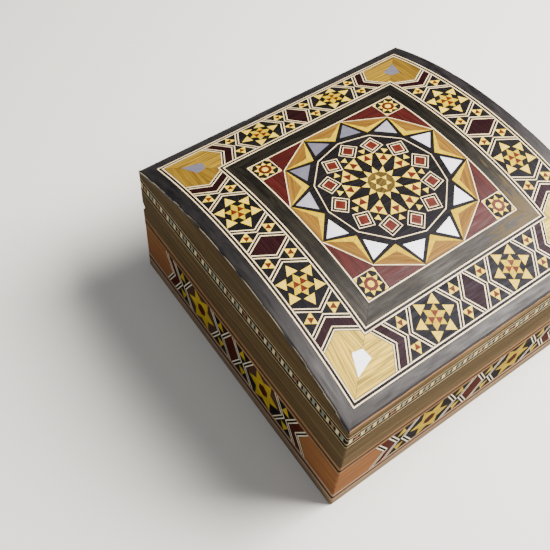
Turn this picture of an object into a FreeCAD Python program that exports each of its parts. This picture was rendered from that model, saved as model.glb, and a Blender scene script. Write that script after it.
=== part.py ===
"""Keepsake box with a barrel lid, faced all over with star marquetry.

Millimetres, Z up, origin under the middle of the box. X runs along the straight eaves and Y across
the arch; the front is at -Y and the hinges are at the back, +Y.
"""
import FreeCAD
import Part

import math
import os
import re

SIZES = {
    # outside of the box
    "width": 150.0,             # along the eaves
    "depth": 147.4,             # front to back
    "body_height": 47.6,        # table to parting line
    "lid_side": 24.15,          # parting line to eaves
    "arch_rise": 15.1,          # eaves to crown
    # boards
    "wall": 6.6,                # carcass boards of the body and the lid
    "bottom": 4.0,              # bottom board
    "lid_board": 3.6,           # bent board under the marquetry
    "veneer": 1.4,              # every facing
    "inlay": 0.8,               # depth of the pieces let into a ground
    "lining": 0.8,              # velvet
    # facings up the sides, from the table
    "foot_height": 5.0,
    "lower_string": 6.2,
    "upper_string": 6.4,
    "body_band": 8.0,           # plain band up to the parting line
    "rope_height": 8.6,
    "eave_height": 4.45,
    "end_block": 18.8,          # plain block at each end of a wall's mosaic
    # marquetry on the lid, from its edge inwards, measured along the arch
    "edge_strip": 6.1,
    "string_width": 2.5,        # white, dark and white lines together
    "border_width": 17.1,
    "corner_gap": 2.2,          # corner block's flat beside the inner frame
    "frame_width": 6.6,
    "panel_edge": 0.9,
    "pearl_border": 1.3,        # dark edging round each pearl triangle
    "star_line": 0.8,           # line along the outer edges of the star
    # butt hinges
    "hinge_spread": 84.0,       # between the middles of the two hinges
    "hinge_length": 20.0,
    "hinge_setback": 2.6,       # pin's axis in from the back face
    "bevel_angle": 53.0,        # slope of the back arrises that stop the lid
    "knuckle_radius": 1.6,
    "knuckle_gap": 0.15,        # end play between knuckles
    "pin_radius": 0.7,
    "pin_clearance": 0.05,      # running fit of the pin
    "leaf": 0.9,                # thickness
    "leaf_depth": 4.6,          # axis to the leaf's free edge
    "leaf_clearance": 0.1,      # leaf in its mortise, and leaf to leaf
    "groove_clearance": 0.3,    # knuckle in the wood
}

# sides of the box, one quarter turn apart
SIDES = ("front", "right", "back", "left")
ENDS = (-1, 1)

# heights and reaches that several pieces share
EAVES = "(body_height + lid_side)"
CROWN = "(body_height + lid_side + arch_rise)"
ARCH_RADIUS = "((depth * depth / 4 + arch_rise * arch_rise) / (2 * arch_rise))"
CORE = "veneer"
INSIDE = "(veneer + wall)"
MOSAIC_FOOT = "(foot_height + lower_string)"
MOSAIC_HEAD = "(body_height - body_band - upper_string)"
BAND_FOOT = "(body_height - body_band)"
ROPE_HEAD = f"({EAVES} - eave_height)"
ROPE_FOOT = f"({EAVES} - eave_height - rope_height)"
PIN_Y = "(depth / 2 - hinge_setback)"

# proportions of the star cells, as shares of their band's height
LINE_SHARE = 0.1404             # white-dark-white lines, measured along the band
CHEVRON_SHARE = 0.193           # maroon chevron, measured along the band
CELL_ROOM_SHARE = 0.0755        # room left at each end of a star's cell
RHOMBUS_SHARE = 0.96            # rhombus within the lines that lean against it
# a star's points: from its middle to their tips, and the side of one
LID_STAR_SHARES = (0.574, 0.287)
WALL_STAR_SHARES = (0.5, 0.27)
# proportions of the panel's twelve-pointed star, as shares of the half panel
POINT_TIP_SHARE = 0.756         # inner tips of the points
HEART_TIP_SHARE = 0.839         # inner tips of the hearts inside the points
PEARL_BASE_SHARE = 0.758        # inner edges of the pearl triangles
SQUARE_RING_SHARE = 0.544       # middles of the twelve squares
SQUARE_REACH_SHARE = 0.1285     # their half diagonals
STAR_POINTS = 12
# corner block's pearl kite, as shares of the border's width from the outer corner
KITE_TIP_SHARE = 0.33
KITE_NEAR_SHARE = 0.52
KITE_FAR_SHARE = 0.84
KITE_HEAD_SHARE = 0.79

DOC = FreeCAD.newDocument("MosaicBox")
NODES = []


def make_sheet():
    """Spreadsheet that drives the model."""
    sheet = DOC.addObject("Spreadsheet::Sheet", "Sizes")
    for row, (alias, value) in enumerate(SIZES.items(), start=1):
        sheet.set(f"A{row}", alias)
        sheet.set(f"B{row}", str(value))
        sheet.setAlias(f"B{row}", alias)
    DOC.recompute()
    return sheet


def sized(text):
    """Expression text with each size's name pointing at its cell."""
    return re.sub(r"[a-z_]+", lambda word: f"Sizes.{word[0]}" if word[0] in SIZES else word[0], text)


def value(text):
    """Number that an expression of sizes gives."""
    return DOC.Sizes.evalExpression(sized(text))


def bind(obj, **expressions):
    """Tie an object's properties to the sheet."""
    for name, text in expressions.items():
        obj.setExpression(name, sized(text))
    return obj


def place(obj, x="0", y="0", z="0", turn=None):
    """Set an object's turn, then tie its base point to the sheet."""
    obj.Placement = FreeCAD.Placement(FreeCAD.Vector(), turn or FreeCAD.Rotation())
    for axis, text in (("x", x), ("y", y), ("z", z)):
        obj.setExpression(f"Placement.Base.{axis}", sized(text))
    return obj


def node(obj, label):
    """Mark an object as one of the box's named pieces."""
    obj.Label = label
    NODES.append(obj)
    return obj


def solid_feature(name, shape):
    """Piece whose shape comes from the pattern's own geometry."""
    obj = DOC.addObject("Part::Feature", name)
    obj.Shape = shape
    return obj


def group(name, members):
    """Several like solids held as one piece list."""
    obj = DOC.addObject("Part::Compound", name)
    obj.Links = members
    return obj


def cut(name, base, tool):
    obj = DOC.addObject("Part::Cut", name)
    obj.Base = base
    obj.Tool = tool
    return obj


def common(name, base, tool):
    obj = DOC.addObject("Part::Common", name)
    obj.Base = base
    obj.Tool = tool
    return obj


def fuse(name, shapes):
    obj = DOC.addObject("Part::MultiFuse", name)
    obj.Shapes = shapes
    return obj


def box(name, length, breadth, height, x, y, z):
    """Block with its low corner at x, y, z."""
    obj = bind(DOC.addObject("Part::Box", name), Length=length, Width=breadth, Height=height)
    return place(obj, x, y, z)


def rod(name, radius, length, x, y, z):
    """Cylinder along X from x."""
    obj = bind(DOC.addObject("Part::Cylinder", name), Radius=radius, Height=length)
    return place(obj, x, y, z, FreeCAD.Rotation(FreeCAD.Vector(0, 1, 0), 90))


def side_turn(side):
    """Turn about Z that brings a board from the front to a side."""
    return FreeCAD.Rotation(FreeCAD.Vector(0, 0, 1), 360 * SIDES.index(side) / len(SIDES))


def board(name, side, inset, thickness, low, high):
    """Upright board along one side, mitred at its ends, its outer face set in from the box's own."""
    lengthwise = side in ("front", "back")
    half = f"({'width' if lengthwise else 'depth'} / 2 - {inset})"
    reach = f"({'depth' if lengthwise else 'width'} / 2 - {inset})"
    obj = DOC.addObject("Part::Wedge", name)
    obj.Ymin = 0
    bind(obj, Ymax=thickness, Xmin=f"-{half}", Xmax=half)
    bind(obj, X2min=f"-({half} - {thickness})", X2max=f"{half} - {thickness}")
    bind(obj, Zmin=low, Zmax=high, Z2min=low, Z2max=high)
    turn = side_turn(side)
    inward = turn.multVec(FreeCAD.Vector(0, 1, 0))
    return place(obj, f"{-round(inward.x)} * {reach}", f"{-round(inward.y)} * {reach}", "0", turn)


def boards(name, inset, thickness, low, high):
    """The same board on all four sides."""
    return [board(f"{name}_{side}", side, inset, thickness, low, high) for side in SIDES]


def barrel(name, depth):
    """Round bar under the arch, its surface `depth` below the lid's outer face."""
    return rod(name, f"{ARCH_RADIUS} - ({depth})", "2 * width", "-width", "0", f"{CROWN} - {ARCH_RADIUS}")


def hinge_tools():
    """What the two hinges and the stop bevels take out of the back boards."""
    bevel = DOC.addObject("Part::Wedge", "back_bevel")
    overrun = "(hinge_setback + 1)"
    rise = f"({overrun} * tan(bevel_angle))"
    bevel.Ymin = 0
    bind(bevel, Xmin="-width", Xmax="width", X2min="-width", X2max="width", Ymax=overrun)
    bind(bevel, Zmin=f"body_height - {rise}", Zmax=f"body_height + {rise}")
    bind(bevel, Z2min="body_height", Z2max="body_height")
    place(bevel, "0", f"{PIN_Y} + {overrun}", "0", FreeCAD.Rotation(FreeCAD.Vector(0, 0, 1), 180))
    tools = [bevel]
    room = "(hinge_length + 2 * leaf_clearance)"
    for end, side in zip(ENDS, ("left", "right")):
        middle = f"{end} * hinge_spread / 2"
        start = f"{middle} - {room} / 2"
        groove = rod(f"groove_{side}", "knuckle_radius + groove_clearance", room, start, PIN_Y, "body_height")
        mortise_depth = "(leaf_depth + leaf_clearance)"
        mortise = box(f"mortise_{side}", room, mortise_depth, "2 * leaf + 2 * leaf_clearance", start,
                      f"{PIN_Y} - {mortise_depth}", "body_height - leaf - leaf_clearance")
        tools += [groove, mortise]
    return fuse("back_tools", tools)


def leaf_half(name, end, up):
    """One hinge leaf with its knuckles: the body's has the outer two, the lid's the middle one."""
    third = "(hinge_length / 3)"
    start = f"({end} * hinge_spread / 2 - hinge_length / 2)"
    low = "body_height + leaf_clearance / 2" if up else "body_height - leaf"
    plate = box(f"{name}_plate", "hinge_length", "leaf_depth", "leaf - leaf_clearance / 2", start,
                f"{PIN_Y} - leaf_depth", low)
    barrels = []
    clear = []
    for index in range(3):
        mine = (index == 1) == up
        at = f"{start} + {index} * {third}"
        if mine:
            barrels.append(rod(f"{name}_knuckle_{index}", "knuckle_radius", f"{third} - knuckle_gap",
                               f"{at} + knuckle_gap / 2", PIN_Y, "body_height"))
        else:
            clear.append(rod(f"{name}_relief_{index}", "knuckle_radius + groove_clearance", third, at,
                             PIN_Y, "body_height"))
    bore = rod(f"{name}_bore", "pin_radius + pin_clearance", "hinge_length", start, PIN_Y, "body_height")
    relieved = cut(f"{name}_relieved", plate, fuse(f"{name}_reliefs", clear) if len(clear) > 1 else clear[0])
    joined = fuse(f"{name}_joined", [relieved, *barrels])
    return node(cut(name, joined, bore), name)


def make_body(back_tools):
    """Carcass, facings and linings below the parting line."""
    node(box("bottom_board", "width - 2 * veneer", "depth - 2 * veneer", "bottom", "-width / 2 + veneer",
             "-depth / 2 + veneer", "0"), "bottom_board")
    for side, wall in zip(SIDES, boards("wall_blank", CORE, "wall", "bottom", "body_height")):
        if side != "front":
            wall = cut(f"{side}_wall_cut", wall, back_tools)
        node(wall, f"{side}_wall")
    for name, low, high in (("foot_strips", "0", "foot_height"),
                            ("lower_stringing", "foot_height", MOSAIC_FOOT),
                            ("upper_stringing", MOSAIC_HEAD, BAND_FOOT)):
        node(group(name, boards(f"{name}_board", "0", "veneer", low, high)), name)
    for side, band in zip(SIDES, boards("body_band_blank", "0", "veneer", BAND_FOOT, "body_height")):
        node(band if side == "front" else cut(f"body_band_{side}_cut", band, back_tools), f"body_band_{side}")
    floor = box("floor_lining", f"width - 2 * {INSIDE}", f"depth - 2 * {INSIDE}", "lining",
                f"-width / 2 + {INSIDE}", f"-depth / 2 + {INSIDE}", "bottom")
    node(floor, "floor_lining")
    linings = boards("wall_lining", INSIDE, "lining", "bottom + lining", "body_height")
    node(group("wall_linings", linings), "wall_linings")


def make_lid(back_tools):
    """Frame, bent board, facings and linings above the parting line."""
    under_skin = barrel("under_skin", "veneer")
    under_board = barrel("under_board", "veneer + lid_board")
    under_lining = barrel("under_lining", "veneer + lid_board + lining")
    names = {"front": "lid_front_rail", "back": "lid_back_rail",
             "left": "lid_left_gable", "right": "lid_right_gable"}
    for side, blank in zip(SIDES, boards("lid_wall", CORE, "wall", "body_height", CROWN)):
        shaped = common(f"lid_wall_{side}_arched", blank, under_board)
        if side != "front":
            shaped = cut(f"lid_wall_{side}_cut", shaped, back_tools)
        node(shaped, names[side])
    blank = box("lid_board_blank", "width - 2 * veneer", "depth - 2 * veneer", f"{CROWN} - body_height",
                "-width / 2 + veneer", "-depth / 2 + veneer", "body_height")
    node(cut("lid_top_board", common("lid_board_arched", blank, under_skin), under_board), "lid_top_board")
    bands = boards("lid_band", "0", "veneer", "body_height", ROPE_FOOT)
    bevelled = [cut(f"{band.Name}_cut", band, back_tools) for band in bands[1:]]
    node(group("lid_bands", [bands[0], *bevelled]), "lid_bands")
    node(group("rope_stringing", boards("rope", "0", "veneer", ROPE_FOOT, ROPE_HEAD)), "rope_stringing")
    for side, blank in zip(SIDES, boards("eave_blank", "0", "veneer", ROPE_HEAD, CROWN)):
        label = f"eave_strip_{side}" if side in ("front", "back") else f"gable_veneer_{side}"
        node(common(f"{label}_arched", blank, under_skin), label)
    sheet = box("lid_lining_blank", f"width - 2 * {INSIDE}", f"depth - 2 * {INSIDE}",
                f"{CROWN} - body_height", f"-width / 2 + {INSIDE}", f"-depth / 2 + {INSIDE}", "body_height")
    pieces = [cut("lid_lining_top", common("lid_lining_arched", sheet, under_board), under_lining)]
    for side, blank in zip(SIDES, boards("lid_lining", INSIDE, "lining", "body_height", CROWN)):
        pieces.append(common(f"lid_lining_{side}_arched", blank, under_lining))
    node(group("lid_lining", pieces), "lid_lining")


def make_hinges():
    """Two butt hinges: leaves and pins."""
    for end, side in zip(ENDS, ("left", "right")):
        leaf_half(f"hinge_body_leaf_{side}", end, False)
        leaf_half(f"hinge_lid_leaf_{side}", end, True)
    pins = [rod(f"pin_{index}", "pin_radius", "hinge_length", f"{end} * hinge_spread / 2 - hinge_length / 2",
                PIN_Y, "body_height") for index, end in enumerate(ENDS)]
    node(group("hinge_pins", pins), "hinge_pins")


def polar(radius, degrees):
    """Flat point at a distance and a direction."""
    return radius * math.cos(math.radians(degrees)), radius * math.sin(math.radians(degrees))


def shrink(outline, gap):
    """Convex outline with every edge moved inwards."""
    count = len(outline)
    middle = [sum(point[axis] for point in outline) / count for axis in (0, 1)]
    lines = []
    for index, (x, y) in enumerate(outline):
        dx, dy = outline[(index + 1) % count][0] - x, outline[(index + 1) % count][1] - y
        length = math.hypot(dx, dy)
        nx, ny = -dy / length, dx / length
        if nx * (middle[0] - x) + ny * (middle[1] - y) < 0:
            nx, ny = -nx, -ny
        lines.append((nx, ny, nx * x + ny * y + gap))
    corners = []
    for index in range(count):
        (a, b, c), (d, e, f) = lines[index - 1], lines[index]
        spread = a * e - b * d
        corners.append(((c * e - b * f) / spread, (a * f - c * d) / spread))
    return corners


def band_pattern(flat_reach, height, star_shares):
    """Pieces of one mosaic band laid flat: p along it from its middle, q across it.

    From the middle: a rhombus, a star cell, a chevron, then the end block, with leaning lines between them.
    `flat_reach` is where the end block starts on the band's edges.
    """
    half = height / 2
    lean = half / math.sqrt(3)
    line = LINE_SHARE * height
    cell_half = 2 * lean + CELL_ROOM_SHARE * height
    cell = lean + 2 * line + cell_half
    chevron = cell + cell_half + 2 * line
    block = chevron + CHEVRON_SHARE * height + line
    stretch = flat_reach / (block + lean)

    def spread(points):
        return [(p * stretch, q) for p, q in points]

    def arrow(near, far):
        upper = [(near, 0), (near + lean, half), (far + lean, half)]
        lower = [(far, 0), (far + lean, -half), (near + lean, -half)]
        return upper + lower

    rhombus = [(share_p * RHOMBUS_SHARE * lean, share_q * RHOMBUS_SHARE * half)
               for share_p, share_q in ((-1, 0), (0, -1), (1, 0), (0, 1))]
    pieces = {"rhombus": [spread(rhombus)], "chevron": [], "point": []}
    star_tip, star_side = (share * height for share in star_shares)
    base = star_tip - star_side * math.sqrt(3) / 2
    wing = math.degrees(math.atan2(star_side / 2, base))
    base_radius = math.hypot(base, star_side / 2)
    for end in ENDS:
        outline = arrow(chevron, chevron + CHEVRON_SHARE * height)
        pieces["chevron"].append(spread([(end * p, q) for p, q in outline]))
        for turn in range(0, 360, 60):
            tip = polar(star_tip, turn)
            feet = [polar(base_radius, turn + wing), polar(base_radius, turn - wing)]
            pieces["point"].append([(end * cell * stretch + p, q) for p, q in (tip, *feet)])
    return pieces, block * stretch


def wall_point(side, p, z, depth):
    """Point of a wall's outer face, p along it to the right as seen from outside."""
    reach = value("depth / 2" if side in ("front", "back") else "width / 2")
    return side_turn(side).multVec(FreeCAD.Vector(p, -reach + depth, z))


def make_wall_mosaics():
    """Mosaic bands on the walls: a dark ground with the pieces let into it."""
    height = value(f"{MOSAIC_HEAD} - {MOSAIC_FOOT}")
    middle = value(MOSAIC_FOOT) + height / 2
    inlay = value("inlay")
    found = {"wall_end_blocks": [], "wall_maroon": [], "wall_star_points": []}
    for side, ground in zip(SIDES, boards("mosaic_blank", "0", "veneer", MOSAIC_FOOT, MOSAIC_HEAD)):
        DOC.recompute()
        half = value("width / 2" if side in ("front", "back") else "depth / 2")
        flat = half - value("end_block")
        pieces, block = band_pattern(flat, height, WALL_STAR_SHARES)
        inward = wall_point(side, 0, 0, inlay) - wall_point(side, 0, 0, 0)

        def slab(points):
            corners = [wall_point(side, p, middle + q, 0) for p, q in points]
            return Part.Face(Part.makePolygon([*corners, corners[0]])).extrude(inward)

        blocks = []
        for end in ENDS:
            square = [(half, -height / 2), (half, height / 2)]
            notch = [(flat, height / 2), (block, 0), (flat, -height / 2)]
            outline = square + notch
            blocks.append(slab([(end * p, q) for p, q in outline]).common(ground.Shape).Solids[0])
        sets = {"wall_end_blocks": blocks,
                "wall_maroon": [slab(outline) for outline in pieces["rhombus"] + pieces["chevron"]],
                "wall_star_points": [slab(outline) for outline in pieces["point"]]}
        every = [solid for solids in sets.values() for solid in solids]
        let_in = solid_feature(f"let_in_{side}", Part.makeCompound(every))
        node(cut(f"mosaic_{side}", ground, let_in), f"mosaic_{side}")
        for name, solids in sets.items():
            found[name] += solids
    for name, solids in found.items():
        node(solid_feature(name, Part.makeCompound(solids)), name)


class LidSkin:
    """The lid's marquetry: laid out flat as (u, v), then bent over the arch."""

    def __init__(self):
        self.radius = value(ARCH_RADIUS)
        self.axis_z = value(f"{CROWN} - {ARCH_RADIUS}")
        self.half_u = value("width / 2")
        self.half_v = self.radius * math.asin(value("depth / 2") / self.radius)
        self.inlay = value("inlay")
        self.full = self.shell(value("veneer"))
        self.top = self.shell(self.inlay)

    def shell(self, depth):
        """Layer of the given thickness under the lid's outer face."""
        start = FreeCAD.Vector(-2 * self.half_u, 0, self.axis_z)
        along = FreeCAD.Vector(1, 0, 0)
        outer = Part.makeCylinder(self.radius, 4 * self.half_u, start, along)
        return outer.cut(Part.makeCylinder(self.radius - depth, 4 * self.half_u, start, along))

    def piece(self, outline, layer):
        """One flat outline, bent over the arch as a solid of the layer's thickness."""
        low = self.axis_z
        corners = [FreeCAD.Vector(u, self.radius * math.sin(v / self.radius), low) for u, v in outline]
        upward = FreeCAD.Vector(0, 0, 2 * self.radius)
        prism = Part.Face(Part.makePolygon([*corners, corners[0]])).extrude(upward)
        return prism.common(layer).Solids[0]

    def chip(self, outline):
        """One small flat outline, laid as a flat chip that touches the arch at its middle."""
        slope = (min(v for u, v in outline) + max(v for u, v in outline)) / 2 / self.radius
        corners = []
        for u, v in outline:
            y = self.radius * math.sin(v / self.radius)
            rise = self.radius / math.cos(slope) - y * math.tan(slope)
            corners.append(FreeCAD.Vector(u, y, self.axis_z + rise))
        down = FreeCAD.Vector(0, 0, -self.inlay / math.cos(slope))
        return Part.Face(Part.makePolygon([*corners, corners[0]])).extrude(down)

    def ring(self, inset, width):
        """Four mitred strips round the lid: front, right, back and left."""
        a, b = self.half_u - inset, self.half_v - inset
        c, d = a - width, b - width
        outer = [(-a, -b), (a, -b), (a, b), (-a, b)]
        inner = [(-c, -d), (c, -d), (c, d), (-c, d)]
        spans = [(index, (index + 1) % 4) for index in range(4)]
        return [self.piece([outer[i], outer[j], inner[j], inner[i]], self.full) for i, j in spans]


def make_border(skin, inset):
    """Border band of star cells, with its corner blocks."""
    width = value("border_width")
    outer = (skin.half_u - inset, skin.half_v - inset)
    inner = (outer[0] - width, outer[1] - width)
    middle = (outer[0] - width / 2, outer[1] - width / 2)
    grounds, maroon, points, blocks, kites = [], [], [], [], []
    vertices = []
    for axis in (0, 1):
        flat = inner[axis] - value("corner_gap")
        pieces, block = band_pattern(flat, width, LID_STAR_SHARES)
        vertices.append((flat, block))
        near_end = [(-flat, width / 2), (-block, 0), (-flat, -width / 2)]
        far_end = [(flat, -width / 2), (block, 0), (flat, width / 2)]
        for sign in ENDS:
            def lay(outline):
                if axis == 0:
                    return [(p, sign * (middle[1] + q)) for p, q in outline]
                return [(sign * (middle[0] + q), p) for p, q in outline]

            large = pieces["rhombus"] + pieces["chevron"]
            let_in_maroon = [skin.piece(lay(outline), skin.top) for outline in large]
            let_in_points = [skin.chip(lay(outline)) for outline in pieces["point"]]
            blank = skin.piece(lay(near_end + far_end), skin.full)
            grounds.append(blank.cut(let_in_maroon + let_in_points).Solids[0])
            maroon += let_in_maroon
            points += let_in_points
    (flat_u, block_u), (flat_v, block_v) = vertices
    for su in ENDS:
        for sv in ENDS:
            shares = [(KITE_TIP_SHARE, KITE_TIP_SHARE), (KITE_NEAR_SHARE, KITE_FAR_SHARE),
                      (KITE_HEAD_SHARE, KITE_HEAD_SHARE), (KITE_FAR_SHARE, KITE_NEAR_SHARE)]
            around = [(a * width, b * width) for a, b in shares]
            kite = skin.chip([(su * (outer[0] - a), sv * (outer[1] - b)) for a, b in around])
            along = [outer, (flat_u, outer[1]), (block_u, middle[1]), (flat_u, inner[1]), inner]
            across = [outer, (outer[0], flat_v), (middle[0], block_v), (inner[0], flat_v), inner]
            for half in (along, across):
                blank = skin.piece([(su * u, sv * v) for u, v in half], skin.full)
                blocks.append(blank.cut(kite).Solids[0])
            kites.append(kite)
    for name, solids in (("border_ground", grounds), ("border_maroon", maroon),
                         ("border_star_points", points), ("corner_blocks", blocks), ("corner_kites", kites)):
        node(solid_feature(name, Part.makeCompound(solids)), name)


def make_star_panel(skin, inset):
    """Square panel with a twelve-pointed star round a ring of squares."""
    half = (skin.half_u - inset, skin.half_v - inset)
    rim = 1 / math.cos(math.pi / STAR_POINTS)
    step = 360 / STAR_POINTS

    def laid(outline):
        return [(a * half[0], b * half[1]) for a, b in outline]

    def chip(outline):
        return skin.chip(laid(outline))

    border = value("pearl_border") / min(half)
    tip_across, tip_along = polar(POINT_TIP_SHARE, 90 - step / 2)
    spread = math.atan2(tip_across, rim - tip_along)
    pearl_apex = rim - border / math.sin(spread)
    pearl_half = (pearl_apex - PEARL_BASE_SHARE) * math.tan(spread)
    pearl_turn = math.degrees(math.atan2(pearl_half, PEARL_BASE_SHARE))
    pearl_reach = math.hypot(pearl_half, PEARL_BASE_SHARE)
    line = value("star_line") / min(half)
    foot_reach = rim * (1 - line)
    foot_turn = step / 2 - math.degrees(line / 2 / rim)
    arms, hearts, pearls, squares, triangles = [], [], [], [], []
    for index in range(STAR_POINTS):
        turn = index * step
        feet = [polar(foot_reach, turn - foot_turn), polar(foot_reach, turn + foot_turn)]
        tip, heart = polar(POINT_TIP_SHARE, turn), polar(HEART_TIP_SHARE, turn)
        arms += [chip([foot, tip, heart]) for foot in feet]
        hearts.append(skin.piece(laid([*feet, heart]), skin.top))
        gap = turn + step / 2
        pearls.append(chip([polar(pearl_apex, gap), polar(pearl_reach, gap + pearl_turn),
                            polar(pearl_reach, gap - pearl_turn)]))
        centre = polar(SQUARE_RING_SHARE, turn)
        corners = [polar(SQUARE_REACH_SHARE, turn + quarter) for quarter in (0, 90, 180, 270)]
        squares.append(chip([(centre[0] + a, centre[1] + b) for a, b in corners]))
    shoulder = math.tan(math.pi / STAR_POINTS)
    corner = rim * math.sqrt(0.5)
    for su in ENDS:
        for sv in ENDS:
            low = [(su * shoulder, sv), (su * corner, sv), (su * corner, sv * corner)]
            high = [(su, sv * shoulder), (su, sv * corner), (su * corner, sv * corner)]
            triangles += [chip(shrink(low, line / 2)), chip(shrink(high, line / 2))]
    let_in = arms + hearts + pearls + squares + triangles
    blank = skin.piece(laid([(-1, -1), (1, -1), (1, 1), (-1, 1)]), skin.full)
    node(solid_feature("star_panel", blank.cut(let_in).Solids[0]), "star_panel")
    for name, solids in (("star_point_arms", arms), ("star_point_hearts", hearts),
                         ("pearl_triangles", pearls), ("ring_squares", squares),
                         ("bordeaux_triangles", triangles)):
        node(solid_feature(name, Part.makeCompound(solids)), name)


def make_lid_marquetry():
    """Everything glued over the arch, from the edge strips inwards."""
    skin = LidSkin()
    edge, string, border = value("edge_strip"), value("string_width"), value("border_width")
    for side, strip in zip(SIDES, skin.ring(0, edge)):
        node(solid_feature(f"lid_edge_{side}", strip), f"lid_edge_{side}")
    rings = (("outer_stringing", edge, string), ("inner_stringing", edge + string + border, string),
             ("inner_frame", edge + 2 * string + border, value("frame_width")),
             ("panel_line", edge + 2 * string + border + value("frame_width"), value("panel_edge")))
    for name, inset, width in rings:
        node(solid_feature(name, Part.makeCompound(skin.ring(inset, width))), name)
    make_border(skin, edge + string)
    make_star_panel(skin, edge + 2 * string + border + value("frame_width") + value("panel_edge"))


def check():
    """Stop unless every object was computed and every piece is a sound solid."""
    for obj in DOC.Objects:
        if "Invalid" in obj.State or "Error" in obj.State:
            raise RuntimeError(f"{obj.Label} failed: {obj.State}")
    for obj in NODES:
        shape = obj.Shape
        if shape.isNull() or not shape.isValid() or not shape.Solids:
            raise RuntimeError(f"{obj.Label} has no sound solid")


def export():
    """One file for each named piece."""
    os.makedirs("parts", exist_ok=True)
    for obj in NODES:
        obj.Shape.exportStep(os.path.join("parts", f"{obj.Label}.step"))
        print(f"{obj.Label}: {len(obj.Shape.Solids)} solids, {obj.Shape.Volume:.1f} mm3")


def main():
    make_sheet()
    back_tools = hinge_tools()
    make_body(back_tools)
    make_lid(back_tools)
    make_hinges()
    make_wall_mosaics()
    make_lid_marquetry()
    DOC.recompute()
    check()
    export()


main()
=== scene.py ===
"""Dresses the keepsake box: star marquetry, veneers, stringing, velvet lining and brass hinges.

Patterns are drawn flat in millimetres, then laid on the arched lid or on the four walls.
"""
import math
import random

import bpy
from mathutils import Matrix, Vector


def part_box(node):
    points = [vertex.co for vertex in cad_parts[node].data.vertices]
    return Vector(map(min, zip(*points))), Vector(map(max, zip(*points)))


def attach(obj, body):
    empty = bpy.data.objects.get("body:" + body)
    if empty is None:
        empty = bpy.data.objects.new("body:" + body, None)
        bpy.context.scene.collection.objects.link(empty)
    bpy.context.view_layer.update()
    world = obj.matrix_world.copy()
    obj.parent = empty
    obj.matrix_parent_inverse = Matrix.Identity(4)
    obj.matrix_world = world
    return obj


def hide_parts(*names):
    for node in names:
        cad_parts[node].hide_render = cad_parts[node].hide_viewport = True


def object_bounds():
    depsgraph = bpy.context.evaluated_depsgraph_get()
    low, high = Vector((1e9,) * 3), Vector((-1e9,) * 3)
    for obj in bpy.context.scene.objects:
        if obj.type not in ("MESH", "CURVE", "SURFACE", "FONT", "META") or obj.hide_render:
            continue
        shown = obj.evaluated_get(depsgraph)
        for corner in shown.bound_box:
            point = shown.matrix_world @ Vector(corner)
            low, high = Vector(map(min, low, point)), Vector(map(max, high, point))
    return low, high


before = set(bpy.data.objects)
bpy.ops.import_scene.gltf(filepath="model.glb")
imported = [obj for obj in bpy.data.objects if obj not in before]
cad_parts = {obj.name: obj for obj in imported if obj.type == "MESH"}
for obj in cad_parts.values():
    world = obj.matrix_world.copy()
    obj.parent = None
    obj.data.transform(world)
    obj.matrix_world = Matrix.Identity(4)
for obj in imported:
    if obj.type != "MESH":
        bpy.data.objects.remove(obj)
CAD_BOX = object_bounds()

bl_info = {
    "name": "Star Marquetry Keepsake Box",
    "version": (1, 0, 0),
    "blender": (4, 5, 0),
    "location": "3D View > Sidebar > Keepsake Box",
    "description": "Dresses the box's frame with marquetry, veneers, velvet and hinges",
    "category": "Object",
}

MM = 0.001
SIDES = ("front", "right", "back", "left")
ENDS = (-1, 1)


def node_top(node):
    """Height of a solid's top, in millimetres."""
    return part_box(node)[1].z / MM


def node_reach(node):
    """Half width of a solid that is centred on the box, in millimetres."""
    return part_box(node)[1].x / MM


# outside of the box, and the rise and curve of the lid's arch
HALF_WIDTH = CAD_BOX[1].x / MM
HALF_DEPTH = CAD_BOX[1].y / MM
RISE = 15.1
VENEER = HALF_WIDTH - node_reach("bottom_board")
CROWN = node_top("lid_top_board") + VENEER
ARCH_RADIUS = (HALF_DEPTH ** 2 + RISE ** 2) / (2 * RISE)
ARCH_AXIS = CROWN - ARCH_RADIUS
HALF_ARC = ARCH_RADIUS * math.asin(HALF_DEPTH / ARCH_RADIUS)
# heights of the facings up the sides
FOOT = node_top("foot_strips")
MOSAIC_LOW = node_top("lower_stringing")
MOSAIC_HIGH = node_top("mosaic_front")
BAND_LOW = node_top("upper_stringing")
PARTING = node_top("body_band_front")
ROPE_LOW = node_top("lid_bands")
ROPE_HIGH = node_top("rope_stringing")
# rings of the lid, as distances in from its edge
STRING_OUT = HALF_WIDTH - node_reach("outer_stringing")
BORDER_OUT = HALF_WIDTH - node_reach("border_ground")
STRING_IN = HALF_WIDTH - node_reach("inner_stringing")
FRAME_OUT = HALF_WIDTH - node_reach("inner_frame")
PANEL_LINE = HALF_WIDTH - node_reach("panel_line")
PANEL = HALF_WIDTH - node_reach("star_panel")
# hinge line at the back, the slope of the arrises behind it, and the screws in the leaves
HINGE_IN = 2.6
HINGE_Y = HALF_DEPTH - HINGE_IN
SLOPE_DEGREES = 53
BACK_SLOPE = math.tan(math.radians(SLOPE_DEGREES))
LEAF_GAP = 0.05
LEAF_FACES = {"body": PARTING, "lid": PARTING + LEAF_GAP}
SCREW_RADIUS = 1.1
SCREW_SLOT = 0.3
SCREW_SPREAD = 6.0
SCREW_IN = 1.7
# bent board over the lid's lining, and how far the edges of the velvet roll under
LID_BOARD = 3.6
VELVET_ROLL = 0.8
# flat pattern of a star band, as shares of its height
LINE_SHARE = 0.1404
CHEVRON_SHARE = 0.193
CELL_ROOM_SHARE = 0.0755
STAR_TIP_SHARE = 0.574
STAR_SIDE_SHARE = 0.297
BOW_TIE_SHARE = 1.12
WALL_STAR_SQUEEZE = 0.835
WALL_BOW_TIE_SQUEEZE = 0.78
# a white line and the dark edge beside it, as shares of a leaning line
WHITE_SHARE = 0.25
WHITE_EDGE_SHARE = 0.07
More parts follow.
